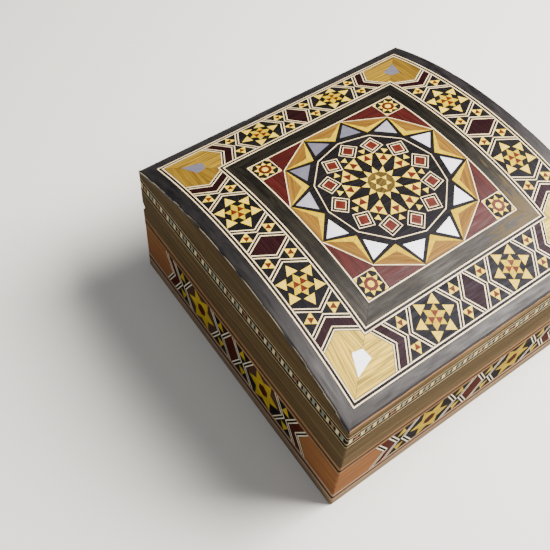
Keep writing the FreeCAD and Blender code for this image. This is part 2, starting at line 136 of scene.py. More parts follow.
# plain blocks at the ends of the walls' bands
WALL_BLOCK = 18.8
# corner blocks of the border: how far they reach along it, how far they lie under the other chips,
# their glue line, the lean of the grain beside a split, and the tones of their two halves and of the
# pearl kite at the front and at the back, painted lighter at the front and darker at the back as painted
# light and shade
CORNER_FLAT = 2.2
BLOCK_DROP, BLOCK_GAP = 0.06, 0.12
SPLIT_LEAN = 8
BLOCK_TONES_AND_SHADE = {-1: (0.0, 0.25, 1.0), 1: (1.2, 1.7, 0.0)}
# the pearl kite and the end of the split, as shares of the border's width
KITE = ((0.33, 0.33), (0.52, 0.84), (0.79, 0.79), (0.84, 0.52))
SPLIT_SHARE = 0.55
# direction round the lid in which the pearl is painted brightest, as painted light from the lamp, and its
# tone and that tone's swing
PAINTED_PEARL_LIGHT = 285
PEARL_TONE, PEARL_SWING = 0.85, 1.1
# dark edge left round the star panel and beside its corner pieces
EDGE_ROOM = 0.1
TRIANGLE_ROOM, CORNER_ROOM = 0.4, 0.45
# star panel, as distances from its middle, half widths and half angles
POINT_TIP, POINT_HEART = 30.0, 33.3
PEARL_TIP, PEARL_BASE, PEARL_HALF = 38.2, 30.1, 5.0
DODECAGON = 28.2
SQUARES_AT = 21.7
SQUARE_LINES = ((3.55, 3.2), (2.35, 2.0))
SQUARE_HEART = 2.0
PETAL_TIP, PETAL_BASE, PETAL_HALF = 9.4, 16.2, 3.65
SMALL_TIP, SMALL_BASE, SMALL_SPREAD = 16.9, 19.5, 4.6
RAY_TIP, RAY_BASE, RAY_SPREAD = 9.0, 5.75, 14.3
ROSETTE = 5.7
SPECK_TIP, SPECK_BASE, SPECK_SPREAD, SPECK_TURN = 4.5, 2.5, 29, 22
# edge strips of the lid, from the inner edge round the arris: distance in, height and how rubbed
EAVE_PROFILE = ((STRING_OUT, 0.0, 0.0), (3.0, 0.0, 0.0), (1.5, -0.02, 0.0), (0.75, -0.14, 0.8),
                (0.3, -0.42, 1.6), (0.05, -0.85, 1.7), (0.0, -VENEER, 1.7), (STRING_OUT, -VENEER, 0.0))
GABLE_PROFILE = ((STRING_OUT, 0.0, 0.0), (2.6, 0.0, 0.0), (0.9, -0.02, 0.1), (0.35, -0.1, 0.4),
                 (0.1, -0.3, 1.15), (0.0, -0.5, 1.15), (0.0, -0.62, 0.4), (0.0, -VENEER, 0.3),
                 (STRING_OUT, -VENEER, 0.0))
EDGE_STEPS = 220
# nicks along those strips: least depth, swing and its length, how far one cuts back and down, and how
# it bares the wood
NICK_LEAST, NICK_SWING, NICK_LENGTH = 0.03, 0.02, 7.1
NICK_BACK, NICK_DOWN = 0.8, 0.3
WEAR_LEAST, WEAR_BY_NICK, WEAR_MOST = 0.85, 1.2, 1.6
# splintered places along an edge, which start thin and end in a step: middle, half length and depth
SPLINTERS = {
    "left": ((-29.0, 5.0, 1.0), (-42.0, 2.5, 0.6), (43.0, 5.0, 0.6), (55.0, 4.0, 0.35), (64.0, 3.0, 0.5)),
    "right": ((-12.0, 3.0, 0.5), (33.0, 2.0, 0.4)),
    "front": ((48.0, 3.0, 0.2),),
    "back": ((15.0, 4.0, 0.4),),
}
# painted sheen at the front right corner of the inner frame, where the lamp's reflection falls: how strong it
# is there, and its reach
PAINTED_SHEEN, PAINTED_SHEEN_REACH = 1.15, 75
# rope stringing: room under and over its bars and each thread as shares of its height, the bars as
# shares of one repeat, and the plain end at a corner of the box
ROPE_UNDER, ROPE_OVER, ROPE_THREAD = 0.34, 0.3, 0.05
ROPE_BARS = (0.3, 0.2, 0.3, 0.2)
ROPE_END = 0.9
# floor and lights: half the floor's width, then each light's place in metres, size, power and colour
FLOOR_HALF = 3
LIGHTS = {
    "key": ((0.45, -0.23, 0.69), 0.5, 40.0, (1.0, 0.97, 0.93)),
    "fill": ((-0.8, 0.05, 0.15), 0.7, 2.1, (0.66, 0.8, 1.0)),
    "overhead": ((-0.25, 0.1, 1.2), 0.9, 4.0, (1.0, 1.0, 1.0)),
}
LIT_POINT = Vector((0, 0, 0.05))
ROOM_COLOUR, ROOM_STRENGTH = (0.8, 0.82, 0.86, 1), 0.07
# camera: image size, focal length and centre in pixels, then sensor and place in millimetres
IMAGE_SIZE = 550
FOCAL_LENGTH = 834.82
CENTRE_X, CENTRE_Y = 254, 190
SENSOR = 36.0
CAMERA_AXES = (Vector((0.81863, -0.5738, 0.02454)), Vector((0.42922, 0.63963, 0.63769)),
               Vector((-0.3816, -0.51149, 0.76991)))
CAMERA_PLACE = Vector((-177.28, -149.35, 350.73))

# how a wood was finished: its roughness, the strength of its gloss and the tint of the varnish
POLISHED = (0.44, 0.19, (1.0, 0.96, 0.96, 1.0))
RUBBED = (0.46, 0.12, (1.0, 0.94, 0.9, 1.0))
VARNISHED = (0.42, 0.42, (1.0, 0.86, 0.22, 1.0))
WAXED = (0.46, 0.1, (1.0, 0.9, 0.94, 1.0))
LACQUERED = (0.46, 0.05, (1.0, 1.0, 1.0, 1.0))
STAINED = (0.46, 0.045, (0.78, 0.8, 1.0, 1.0))
OILED = (0.65, 0.01, (1.0, 1.0, 1.0, 1.0))
# length and width of a pore, and of a patch that took the finish unevenly
PORE = (3.5, 0.22)
PATCH = (10, 1.25)
# material slot of the chips of each wood
SLOTS = {"maroon": "maroon_wood", "wine": "maroon_wood", "plum": "maroon_wood", "lemon": "lemon_wood",
         "gold": "lemon_wood", "apricot": "apricot_wood", "honey": "apricot_wood", "red": "red_wood",
         "wall_red": "red_wood", "bone": "bone_stringing", "thread": "bone_stringing",
         "wall_ebony": "ebony_stain", "pearl": "mother_of_pearl", "ochre": "walnut", "sage": "walnut",
         "string_pale": "walnut"}
FINISHES = {}


def linear(code):
    """Colour of an sRGB hex code in linear light."""
    channels = [int(code[i:i + 2], 16) / 255 for i in (1, 3, 5)]
    return [c / 12.92 if c <= 0.04045 else ((c + 0.055) / 1.055) ** 2.4 for c in channels] + [1.0]


def colour(label, tells, code):
    """Colour setting with its default as an sRGB hex code."""
    return bpy.props.FloatVectorProperty(name=label, description=tells, subtype="COLOR", size=4,
                                         min=0, max=1, default=linear(code))


def length(label, tells, millimetres):
    """Length setting with its default in millimetres."""
    return bpy.props.FloatProperty(name=label, description=tells, unit="LENGTH", min=0,
                                   default=millimetres * MM, precision=5)


class KeepsakeSizes(bpy.types.PropertyGroup):
    """Sizes that change the look of the facings."""
    string_white: length("White line", "Width of each white line round the lid's border", 0.52)
    string_inset: length("White line inset", "Dark edge left outside each white line", 0.2)
    star_line: length("Star line", "Width of the white lines inside the star panel", 0.4)
    chip_gap: length("Glue line", "Gap between neighbouring chips", 0.06)
    chip_depth: length("Chip depth", "Thickness of a chip", 0.5)
    chip_uneven: length("Unevenness", "How far chips differ in height", 0.03)
    ground_drop: length("Ground", "How far the dark ground lies under the chips", 0.08)
    arris: length("Arris", "Rounding of the box's upright edges", 0.8)
    rope_step: length("Rope step", "Length of one repeat of the rope stringing", 5.5)
    pile: length("Velvet", "Thickness of the lining", 0.8)


class KeepsakeColours(bpy.types.PropertyGroup):
    """Colours of the woods and trims."""
    walnut_pale: colour("Walnut, light", "Light figure of the lid's edge strips and frame", "#211e1f")
    walnut_deep: colour("Walnut, dark", "Dark figure of the lid's edge strips and frame", "#0c0b0c")
    olive_pale: colour("Wall veneer, light", "Light figure of the wall veneers", "#5e4d33")
    olive_deep: colour("Wall veneer, dark", "Dark figure of the wall veneers", "#433623")
    string_pale: colour("Pale string", "Light lines along the walls", "#92714f")
    string_dark: colour("Dark string", "Dark lines along the walls", "#3c2a1c")
    ebony_pale: colour("Ebonised wood, worn", "Where the stain is thin", "#1c1918")
    ebony_deep: colour("Ebonised wood", "Stained ground of the marquetry", "#0b0a0c")
    lemon_pale: colour("Lemon wood, light", "Body of the pale yellow chips", "#d2b83c")
    lemon_deep: colour("Lemon wood, dark", "Figure of the pale yellow chips", "#bb9a28")
    gold_pale: colour("Barberry wood, light", "Body of the strong yellow arms", "#b89e08")
    gold_deep: colour("Barberry wood, dark", "Figure of the strong yellow arms", "#9a7c06")
    amber_pale: colour("Aged lemon wood, light", "Body of the walls' stars", "#b29834")
    amber_deep: colour("Aged lemon wood, dark", "Figure of the walls' stars", "#8a711c")
    apricot_pale: colour("Apricot wood, light", "Body of the golden blocks", "#c49e2c")
    apricot_deep: colour("Apricot wood, dark", "Figure of the golden blocks", "#50380f")
    cherry_pale: colour("Cherry wood, light", "Body of the walls' end blocks", "#865d36")
    cherry_deep: colour("Cherry wood, dark", "Figure of the walls' end blocks", "#694229")
    red_pale: colour("Red wood, light", "Body of the red chips", "#551f13")
    red_deep: colour("Red wood, dark", "Figure of the red chips", "#3c120a")
    maroon_pale: colour("Maroon wood, light", "Body of the border's dark red pieces", "#230d0e")
    maroon_deep: colour("Maroon wood, dark", "Figure of the border's dark red pieces", "#150708")
    wine_pale: colour("Wine-red wood, light", "Body of the star panel's large triangles", "#421612")
    wine_deep: colour("Wine-red wood, dark", "Figure of the star panel's large triangles", "#2a0c0a")
    bone: colour("Bone", "White stringing", "#d8c49a")
    # the bright pearl is painted light and the dim pearl painted shade, chosen by each piece's side towards
    # the lamp
    pearl_painted_lit: colour("Mother-of-pearl, bright", "Pearl whose layers face the light", "#e4e3e4")
    pearl_painted_shade: colour("Mother-of-pearl, dim", "Pearl whose layers turn away", "#64626b")
    velvet: colour("Velvet", "Lining", "#4c0f1a")
    brass: colour("Brass", "Hinges and screws", "#b08d4c")
    carcass: colour("Carcass wood", "Boards under the facings", "#b08a58")
    floor: colour("Floor", "Ground that the box stands on", "#d2cfc9")


def size(name):
    """Size setting, in millimetres."""
    return getattr(bpy.context.scene.keepsake_sizes, name) / MM


def polar(radius, degrees):
    """Flat point at a distance and a direction."""
    return radius * math.cos(math.radians(degrees)), radius * math.sin(math.radians(degrees))


def spike(tip, base, turn, spread):
    """Triangle that points along a direction, with its base across it."""
    return [polar(tip, turn), polar(base, turn + spread), polar(base, turn - spread)]


def moved(outline, centre=(0, 0), turn=0.0):
    """Outline turned about its origin, then moved."""
    c, s = math.cos(math.radians(turn)), math.sin(math.radians(turn))
    return [(centre[0] + c * a - s * b, centre[1] + s * a + c * b) for a, b in outline]


def midway(first, second):
    """Point half way between two."""
    return (first[0] + second[0]) / 2, (first[1] + second[1]) / 2


def area_sign(outline):
    """Positive where an outline runs anticlockwise."""
    return sum(a[0] * b[1] - b[0] * a[1] for a, b in zip(outline, outline[1:] + outline[:1]))


def shrink(outline, gap):
    """Convex anticlockwise outline with every edge moved inwards."""
    count = len(outline)
    lines = []
    for index, (x, y) in enumerate(outline):
        dx, dy = outline[(index + 1) % count][0] - x, outline[(index + 1) % count][1] - y
        reach = math.hypot(dx, dy)
        lines.append((-dy / reach, dx / reach, (dx * y - dy * x) / reach + gap))
    corners = []
    for index in range(count):
        (a, b, c), (d, e, f) = lines[index - 1], lines[index]
        spread = a * e - b * d
        corners.append(((c * e - b * f) / spread, (a * f - c * d) / spread))
    return corners


def clip(outline, bound, keep_above):
    """Part of a convex outline on one side of a line across it."""
    sliver = 0.01
    sign = 1 if keep_above else -1
    kept = []
    for first, second in zip(outline, outline[1:] + outline[:1]):
        low, high = sign * (first[1] - bound), sign * (second[1] - bound)
        if low > -sliver:
            kept.append(first)
        if low * high < 0 and min(abs(low), abs(high)) > sliver:
            share = low / (low - high)
            kept.append((first[0] + share * (second[0] - first[0]), bound))
    return kept


class Arch:
    """Outer face of the lid: u along the eaves, v round the arch from its crown."""
    step = 4.0
    narrowest = 0.3

    def point(self, u, v, height):
        """Place of a flat point, raised above the face."""
        radius, turn = ARCH_RADIUS + height, v / ARCH_RADIUS
        return Vector((u, radius * math.sin(turn), ARCH_AXIS + radius * math.cos(turn))) * MM

    def strips(self, outline):
        """Outline cut across the arch, so that it can bend."""
        low = min(v for u, v in outline)
        high = max(v for u, v in outline)
        pieces, rest = [], outline
        for k in range(math.floor(low / self.step) + 1, math.ceil(high / self.step)):
            bound = k * self.step
            if min(high - bound, bound - low) >= self.narrowest:
                pieces.append(clip(rest, bound, False))
                rest = clip(rest, bound, True)
        return [piece for piece in [*pieces, rest] if len(piece) > 2]


class Flat:
    """Face without a bend, which needs no cuts."""

    def strips(self, outline):
        """The whole outline."""
        return [outline]


class Wall(Flat):
    """Outer face of one side: a along it to the right as seen from outside, b up from the table."""

    def __init__(self, number):
        halves = (HALF_WIDTH, HALF_DEPTH)
        self.half, self.reach = halves[number % 2], halves[1 - number % 2]
        self.turn = Matrix.Rotation(math.radians(90 * number), 3, "Z")

    def point(self, a, b, height):
        """Place of a flat point, raised above the face."""
        return self.turn @ Vector((a, -self.reach - height, b)) * MM


class Plate(Flat):
    """Flat face of a hinge leaf, looking up or down, measured from the middle of a screw."""

    def __init__(self, middle, level, up):
        self.middle, self.level, self.up = middle, level, up

    def point(self, a, b, height):
        """Place of a flat point, raised above the face."""
        x, y = self.middle[0] + self.up * a, self.middle[1] + b
        return Vector((x, y, self.level + self.up * height)) * MM


ARCH = Arch()
WALLS = [Wall(number) for number in range(4)]


class Tray:
    """Pieces of one wood, collected until they become one mesh.

    Each corner keeps its place in the wood: along the grain, across it, and a number of the piece's own.
    """

    def __init__(self, seed):
        self.points, self.faces, self.lay, self.wear_and_sheen = [], [], [], []
        self.random = random.Random(seed)

    def shell(self, points, faces, lay, wear_and_sheen=None):
        """One closed piece."""
        start = len(self.points)
        self.points += points
        self.faces += [[start + index for index in face] for face in faces]
        self.lay += [lay[index] for face in faces for index in face]
        self.wear_and_sheen += [wear_and_sheen[index] if wear_and_sheen else 0.0 for face in faces for index in face]

    def chip(self, surface, outline, grain=0.0, top=0.0, gap=None, depth=None, level=False, tone=None):
        """One flat convex outline, laid on a face."""
        if area_sign(outline) < 0:
            outline = outline[::-1]
        outline = shrink(outline, (size("chip_gap") if gap is None else gap) / 2)
        tone = self.random.random() if tone is None else tone
        top -= 0.0 if level else size("chip_uneven") * self.random.random()
        low = top - (size("chip_depth") if depth is None else depth)
        corners = {}
        caps = [[corners.setdefault((round(a, 4), round(b, 4)), len(corners)) for a, b in strip]
                for strip in surface.strips(outline)]
        flat = list(corners)
        points = [surface.point(a, b, height) for height in (top, low) for a, b in flat]
        shift = (self.random.uniform(0, 90), self.random.uniform(0, 90))
        lay = [(*point, tone) for point in moved(flat, shift, -grain)] * 2
        self.shell(points, closed_faces(caps, len(flat)), lay)

    def ground(self, outlines):
        """Dark pieces that lie a little under the chips and reach through the veneer."""
        drop = size("ground_drop")
        for outline, grain in outlines:
            self.chip(ARCH, outline, grain, -drop, 0.0, VENEER - 2 * drop)

    def finish(self, name, look, body, slot, *nodes):
        """Mesh object with one of the finishes, on its body and standing for solids of the frame."""
        mesh = bpy.data.meshes.new(name)
        mesh.from_pydata(self.points, [], self.faces)
        # wear along edges, and on the inner frame a painted sheen, go into one mark
        for label, kind, values in (("lay", "FLOAT_VECTOR", [x for lay in self.lay for x in lay]),
                                    ("wear_and_sheen", "FLOAT", self.wear_and_sheen)):
            layer = mesh.attributes.new(label, kind, "CORNER")
            layer.data.foreach_set("vector" if kind == "FLOAT_VECTOR" else "value", values)
        if mesh.validate():
            raise RuntimeError(f"{name} has faulty faces")
        obj = bpy.data.objects.new(name, mesh)
        bpy.context.scene.collection.objects.link(obj)
        obj.data.materials.append(FINISHES[look])
        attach(obj, body)
        if nodes:
            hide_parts(*nodes)
        return obj


def closed_faces(caps, count):
    """Faces of a piece: its top, its bottom with the points in the same order, and its sides."""
    edges = {(cap[i - 1], cap[i]) for cap in caps for i in range(len(cap))}
    rim = sorted((a, b) for a, b in edges if (b, a) not in edges)
    bottom = [[i + count for i in reversed(cap)] for cap in caps]
    return caps + bottom + [[b, a, a + count, b + count] for a, b in rim]


def trays_of(seed, *names):
    """One tray for each wood, with seeds that count up."""
    return {name: Tray(seed + number) for number, name in enumerate(names)}


def finish_trays(trays, title, body, nodes, woods):
    """Finish each tray by its wood's name, in place of the solids that nodes says."""
    for name, tray in trays.items():
        covered = [nodes[name]] if name in nodes else []
        tray.finish(title.format(name), woods.get(name, name), body, SLOTS[name], *covered)


def coat(node, finish):
    """Give a solid of the frame its finish."""
    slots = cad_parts[node].data.materials
    slots.clear()
    slots.append(FINISHES[finish])


def feed(tree, node, inputs):
    """Set a node's inputs, each to a value or to the socket that feeds it."""
    for name, value in inputs.items():
        if isinstance(value, bpy.types.NodeSocket):
            tree.links.new(value, node.inputs[name])
        else:
            node.inputs[name].default_value = value


def add(tree, kind, out=None, inputs=None, **settings):
    """Add a node with its settings and links, and give the output that is asked for."""
    made = tree.nodes.new(kind)
    for name, value in settings.items():
        setattr(made, name, value)
    feed(tree, made, inputs or {})
    return None if out is None else made.outputs[out]


def new_material(name):
    """Empty material with its shader and output."""
    material = bpy.data.materials.new(name)
    material.use_nodes = True
    tree = material.node_tree
    tree.nodes.clear()
    surface = add(tree, "ShaderNodeBsdfPrincipled", "BSDF")
    add(tree, "ShaderNodeOutputMaterial", None, {"Surface": surface})
    return material, tree, surface.node


def dimmed(body, *shares):
    """Colour with its red, green and blue made weaker."""
    return [channel * share for channel, share in zip(body, shares)] + [1.0]


def wood(name, pale, deep, grain, pores, finish, worn_and_sheen=None, solid=None):
    """Sawn veneer, sanded level and finished: long streaks of figure, short dark pores and a soft gloss.

    grain is the length and the width of a streak in millimetres, pores how dark the pores are, worn the
    colour of bared wood along an edge and, on the inner frame, of a painted sheen, and solid the axis of
    the grain in a board that has no chips.
    """
    rough, gloss, varnish = finish
    material, tree, shader = new_material(name)
    if solid is None:
        place = add(tree, "ShaderNodeAttribute", "Vector", attribute_name="lay")
        streak_depth, pore_depth = 9.0, 5.0
    else:
        spot = add(tree, "ShaderNodeTexCoord", "Object")
        turn = (0, 0, math.pi / 2 if solid == "Y" else 0)
        place = add(tree, "ShaderNodeMapping", "Vector",
                    {"Vector": spot, "Rotation": turn, "Scale": (1 / MM,) * 3})
        streak_depth, pore_depth = 1 / grain[1], 1 / PORE[1]
    streak_place = add(tree, "ShaderNodeMapping", "Vector",
                       {"Vector": place, "Scale": (1 / grain[0], 1 / grain[1], streak_depth)})
    streaks = add(tree, "ShaderNodeTexNoise", "Fac", {"Vector": streak_place, "Scale": 1.0, "Detail": 5.0,
                                                      "Roughness": 0.62, "Distortion": 0.5})
    figure = add(tree, "ShaderNodeMapRange", "Result", {"Value": streaks, "From Min": 0.34, "From Max": 0.66},
                 interpolation_type="SMOOTHSTEP")
    body = add(tree, "ShaderNodeMix", "Result", {"Factor": figure, "A": pale, "B": deep}, data_type="RGBA")
    if solid is None:
        tone = add(tree, "ShaderNodeSeparateXYZ", "Z", {"Vector": place})
        share = add(tree, "ShaderNodeMath", "Value", {0: tone, 1: 0.45}, operation="MULTIPLY")
        body = add(tree, "ShaderNodeMix", "Result", {"Factor": share, "A": body, "B": deep}, data_type="RGBA")
    pore_place = add(tree, "ShaderNodeMapping", "Vector",
                     {"Vector": place, "Scale": (1 / PORE[0], 1 / PORE[1], pore_depth)})
    pore = add(tree, "ShaderNodeTexNoise", "Fac", {"Vector": pore_place, "Scale": 1.0, "Detail": 2.0})
    dark = add(tree, "ShaderNodeMapRange", "Result",
               {"Value": pore, "From Min": 0.56, "From Max": 0.74, "To Max": pores},
               interpolation_type="SMOOTHSTEP")
    body = add(tree, "ShaderNodeMix", "Result",
               {"Factor": dark, "A": body, "B": dimmed(deep, 0.4, 0.4, 0.4)}, data_type="RGBA")
    patch_place = add(tree, "ShaderNodeMapping", "Vector",
                      {"Vector": place, "Scale": (1 / PATCH[0], 1 / PATCH[1], 1 / PATCH[1])})
    patch = add(tree, "ShaderNodeTexNoise", "Fac", {"Vector": patch_place, "Scale": 1.0, "Detail": 4.0})
    # bared wood along rubbed edges, and on the inner frame a painted sheen where the lamp's reflection falls
    if worn_and_sheen:
        rub_and_sheen = add(tree, "ShaderNodeAttribute", "Fac", attribute_name="wear_and_sheen")
        bare_and_sheen = add(tree, "ShaderNodeMath", "Value", {0: rub_and_sheen, 1: patch}, operation="MULTIPLY")
        bare_and_sheen = add(tree, "ShaderNodeMapRange", "Result",
                   {"Value": bare_and_sheen, "From Min": 0.42, "From Max": 0.56, "To Max": 0.8},
                   interpolation_type="SMOOTHSTEP")
        body = add(tree, "ShaderNodeMix", "Result", {"Factor": bare_and_sheen, "A": body, "B": worn_and_sheen}, data_type="RGBA")
    satin = add(tree, "ShaderNodeMapRange", "Result",
                {"Value": patch, "From Min": 0.3, "From Max": 0.7,
                 "To Min": rough - 0.1, "To Max": rough + 0.12})
    relief = add(tree, "ShaderNodeBump", "Normal", {"Strength": 0.25, "Distance": 0.02 * MM, "Height": pore})
    feed(tree, shader, {"Base Color": body, "Roughness": satin, "Normal": relief, "IOR": 1.5,
                        "Specular IOR Level": gloss, "Specular Tint": varnish})
    return material


def bone(name, body, gloss):
    """Cow bone, sawn into threads and polished: warm white, faintly mottled, satin."""
    material, tree, shader = new_material(name)
    place = add(tree, "ShaderNodeAttribute", "Vector", attribute_name="lay")
    # a spot of the mottle is about 4.5 mm across
    mottle = add(tree, "ShaderNodeTexNoise", "Fac", {"Vector": place, "Scale": 0.22, "Detail": 4.0})
    dull = add(tree, "ShaderNodeMapRange", "Result", {"Value": mottle, "From Min": 0.42, "From Max": 0.72})
    mixed = add(tree, "ShaderNodeMix", "Result",
                {"Factor": dull, "A": body, "B": dimmed(body, 0.72, 0.66, 0.55)}, data_type="RGBA")
    satin = add(tree, "ShaderNodeMapRange", "Result", {"Value": mottle, "To Min": 0.34, "To Max": 0.5})
    feed(tree, shader, {"Base Color": mixed, "Roughness": satin, "IOR": 1.54, "Specular IOR Level": gloss})
    return material


def nacre(name, bright, dim):
    """Mother-of-pearl, ground flat: silvery, with tinted bands, and painted bright or dim by the tone of each
    piece, as painted light and shade.
    """
    material, tree, shader = new_material(name)
    place = add(tree, "ShaderNodeAttribute", "Vector", attribute_name="lay")
    # a band is about 4.5 mm wide, and a cloud about 4 mm across
    bands = add(tree, "ShaderNodeTexWave", "Fac", {"Vector": place, "Scale": 0.07, "Distortion": 9.0,
                                                   "Detail": 3.0, "Detail Scale": 0.6}, wave_type="BANDS")
    cloud = add(tree, "ShaderNodeTexNoise", "Fac", {"Vector": place, "Scale": 1 / 4, "Detail": 3.0})
    # the tone of each piece paints it in light or in shade
    tone = add(tree, "ShaderNodeSeparateXYZ", "Z", {"Vector": place})
    body = add(tree, "ShaderNodeMix", "Result", {"Factor": tone, "A": dim, "B": bright}, data_type="RGBA")
    shift = add(tree, "ShaderNodeMix", "Result",
                {"Factor": cloud, "A": linear("#f0d8de"), "B": linear("#d8eee4")}, data_type="RGBA")
    sheen = add(tree, "ShaderNodeMix", "Result",
                {"Factor": bands, "A": linear("#d6d0ec"), "B": shift}, data_type="RGBA")
    mixed = add(tree, "ShaderNodeMix", "Result", {"Factor": 0.8, "A": body, "B": sheen},
                data_type="RGBA", blend_type="MULTIPLY")
    satin = add(tree, "ShaderNodeMapRange", "Result", {"Value": cloud, "To Min": 0.34, "To Max": 0.5})
    feed(tree, shader, {"Base Color": mixed, "Roughness": satin, "IOR": 1.6, "Coat Weight": 0.5,
                        "Coat Roughness": 0.35})
    return material


def velvet(name, body):
    """Cotton velvet, glued down: short pile, deep colour, pale sheen at a slant and a faint brushed cloud."""
    material, tree, shader = new_material(name)
    spot = add(tree, "ShaderNodeTexCoord", "Object")
    brushed = add(tree, "ShaderNodeTexNoise", "Fac", {"Vector": spot, "Scale": 1 / (22 * MM), "Detail": 3.0})
    # tufts are drawn 0.5 mm apart, coarser than the pile, so that they show
    tufts = add(tree, "ShaderNodeTexNoise", "Fac", {"Vector": spot, "Scale": 1 / (0.5 * MM), "Detail": 1.0})
    nap = add(tree, "ShaderNodeMapRange", "Result", {"Value": brushed, "From Min": 0.35, "From Max": 0.7})
    mixed = add(tree, "ShaderNodeMix", "Result", {"Factor": nap, "A": body, "B": dimmed(body, 0.7, 0.7, 0.7)},
                data_type="RGBA")
    matt = add(tree, "ShaderNodeMapRange", "Result", {"Value": tufts, "To Min": 0.85, "To Max": 1.0})
    relief = add(tree, "ShaderNodeBump", "Normal", {"Strength": 0.6, "Distance": 0.15 * MM, "Height": tufts})
    feed(tree, shader, {"Base Color": mixed, "Roughness": matt, "Normal": relief, "Specular IOR Level": 0.05,
                        "Sheen Weight": 0.25, "Sheen Roughness": 0.35, "Sheen Tint": linear("#b04050")})
    return material


def brass(name, body):
    """Stamped brass, dulled by handling: warm yellow metal with fine rolling marks and brown tarnish."""
    material, tree, shader = new_material(name)
    spot = add(tree, "ShaderNodeTexCoord", "Object")
    # rolling marks are drawn 0.4 mm wide and 12.5 mm long, coarser than real ones, so that they show
    mark_scale = (1 / (12.5 * MM), 1 / (0.4 * MM), 1 / (0.4 * MM))
    mark_place = add(tree, "ShaderNodeMapping", "Vector", {"Vector": spot, "Scale": mark_scale})
    marks = add(tree, "ShaderNodeTexNoise", "Fac", {"Vector": mark_place, "Scale": 1.0})
    tarnish = add(tree, "ShaderNodeTexNoise", "Fac", {"Vector": spot, "Scale": 1 / (3 * MM), "Detail": 4.0})
    dull = add(tree, "ShaderNodeMapRange", "Result", {"Value": tarnish, "From Min": 0.45, "From Max": 0.75})
    mixed = add(tree, "ShaderNodeMix", "Result",
                {"Factor": dull, "A": body, "B": dimmed(body, 0.5, 0.42, 0.32)}, data_type="RGBA")
    satin = add(tree, "ShaderNodeMapRange", "Result", {"Value": tarnish, "To Min": 0.25, "To Max": 0.5})
    relief = add(tree, "ShaderNodeBump", "Normal", {"Strength": 0.2, "Distance": 0.01 * MM, "Height": marks})
    feed(tree, shader, {"Base Color": mixed, "Roughness": satin, "Normal": relief, "Metallic": 1.0})
    return material


def paper(name, body):
    """Matt paper, rolled smooth: plain, with a faint fibre in its dullness."""
    material, tree, shader = new_material(name)
    spot = add(tree, "ShaderNodeTexCoord", "Object")
    # the fibre is drawn 2.5 mm apart, coarser than real fibre, so that it shows
    fibre = add(tree, "ShaderNodeTexNoise", "Fac", {"Vector": spot, "Scale": 1 / (2.5 * MM), "Detail": 3.0})
    matt = add(tree, "ShaderNodeMapRange", "Result", {"Value": fibre, "To Min": 0.75, "To Max": 0.9})
    feed(tree, shader, {"Base Color": body, "Roughness": matt})
    return material


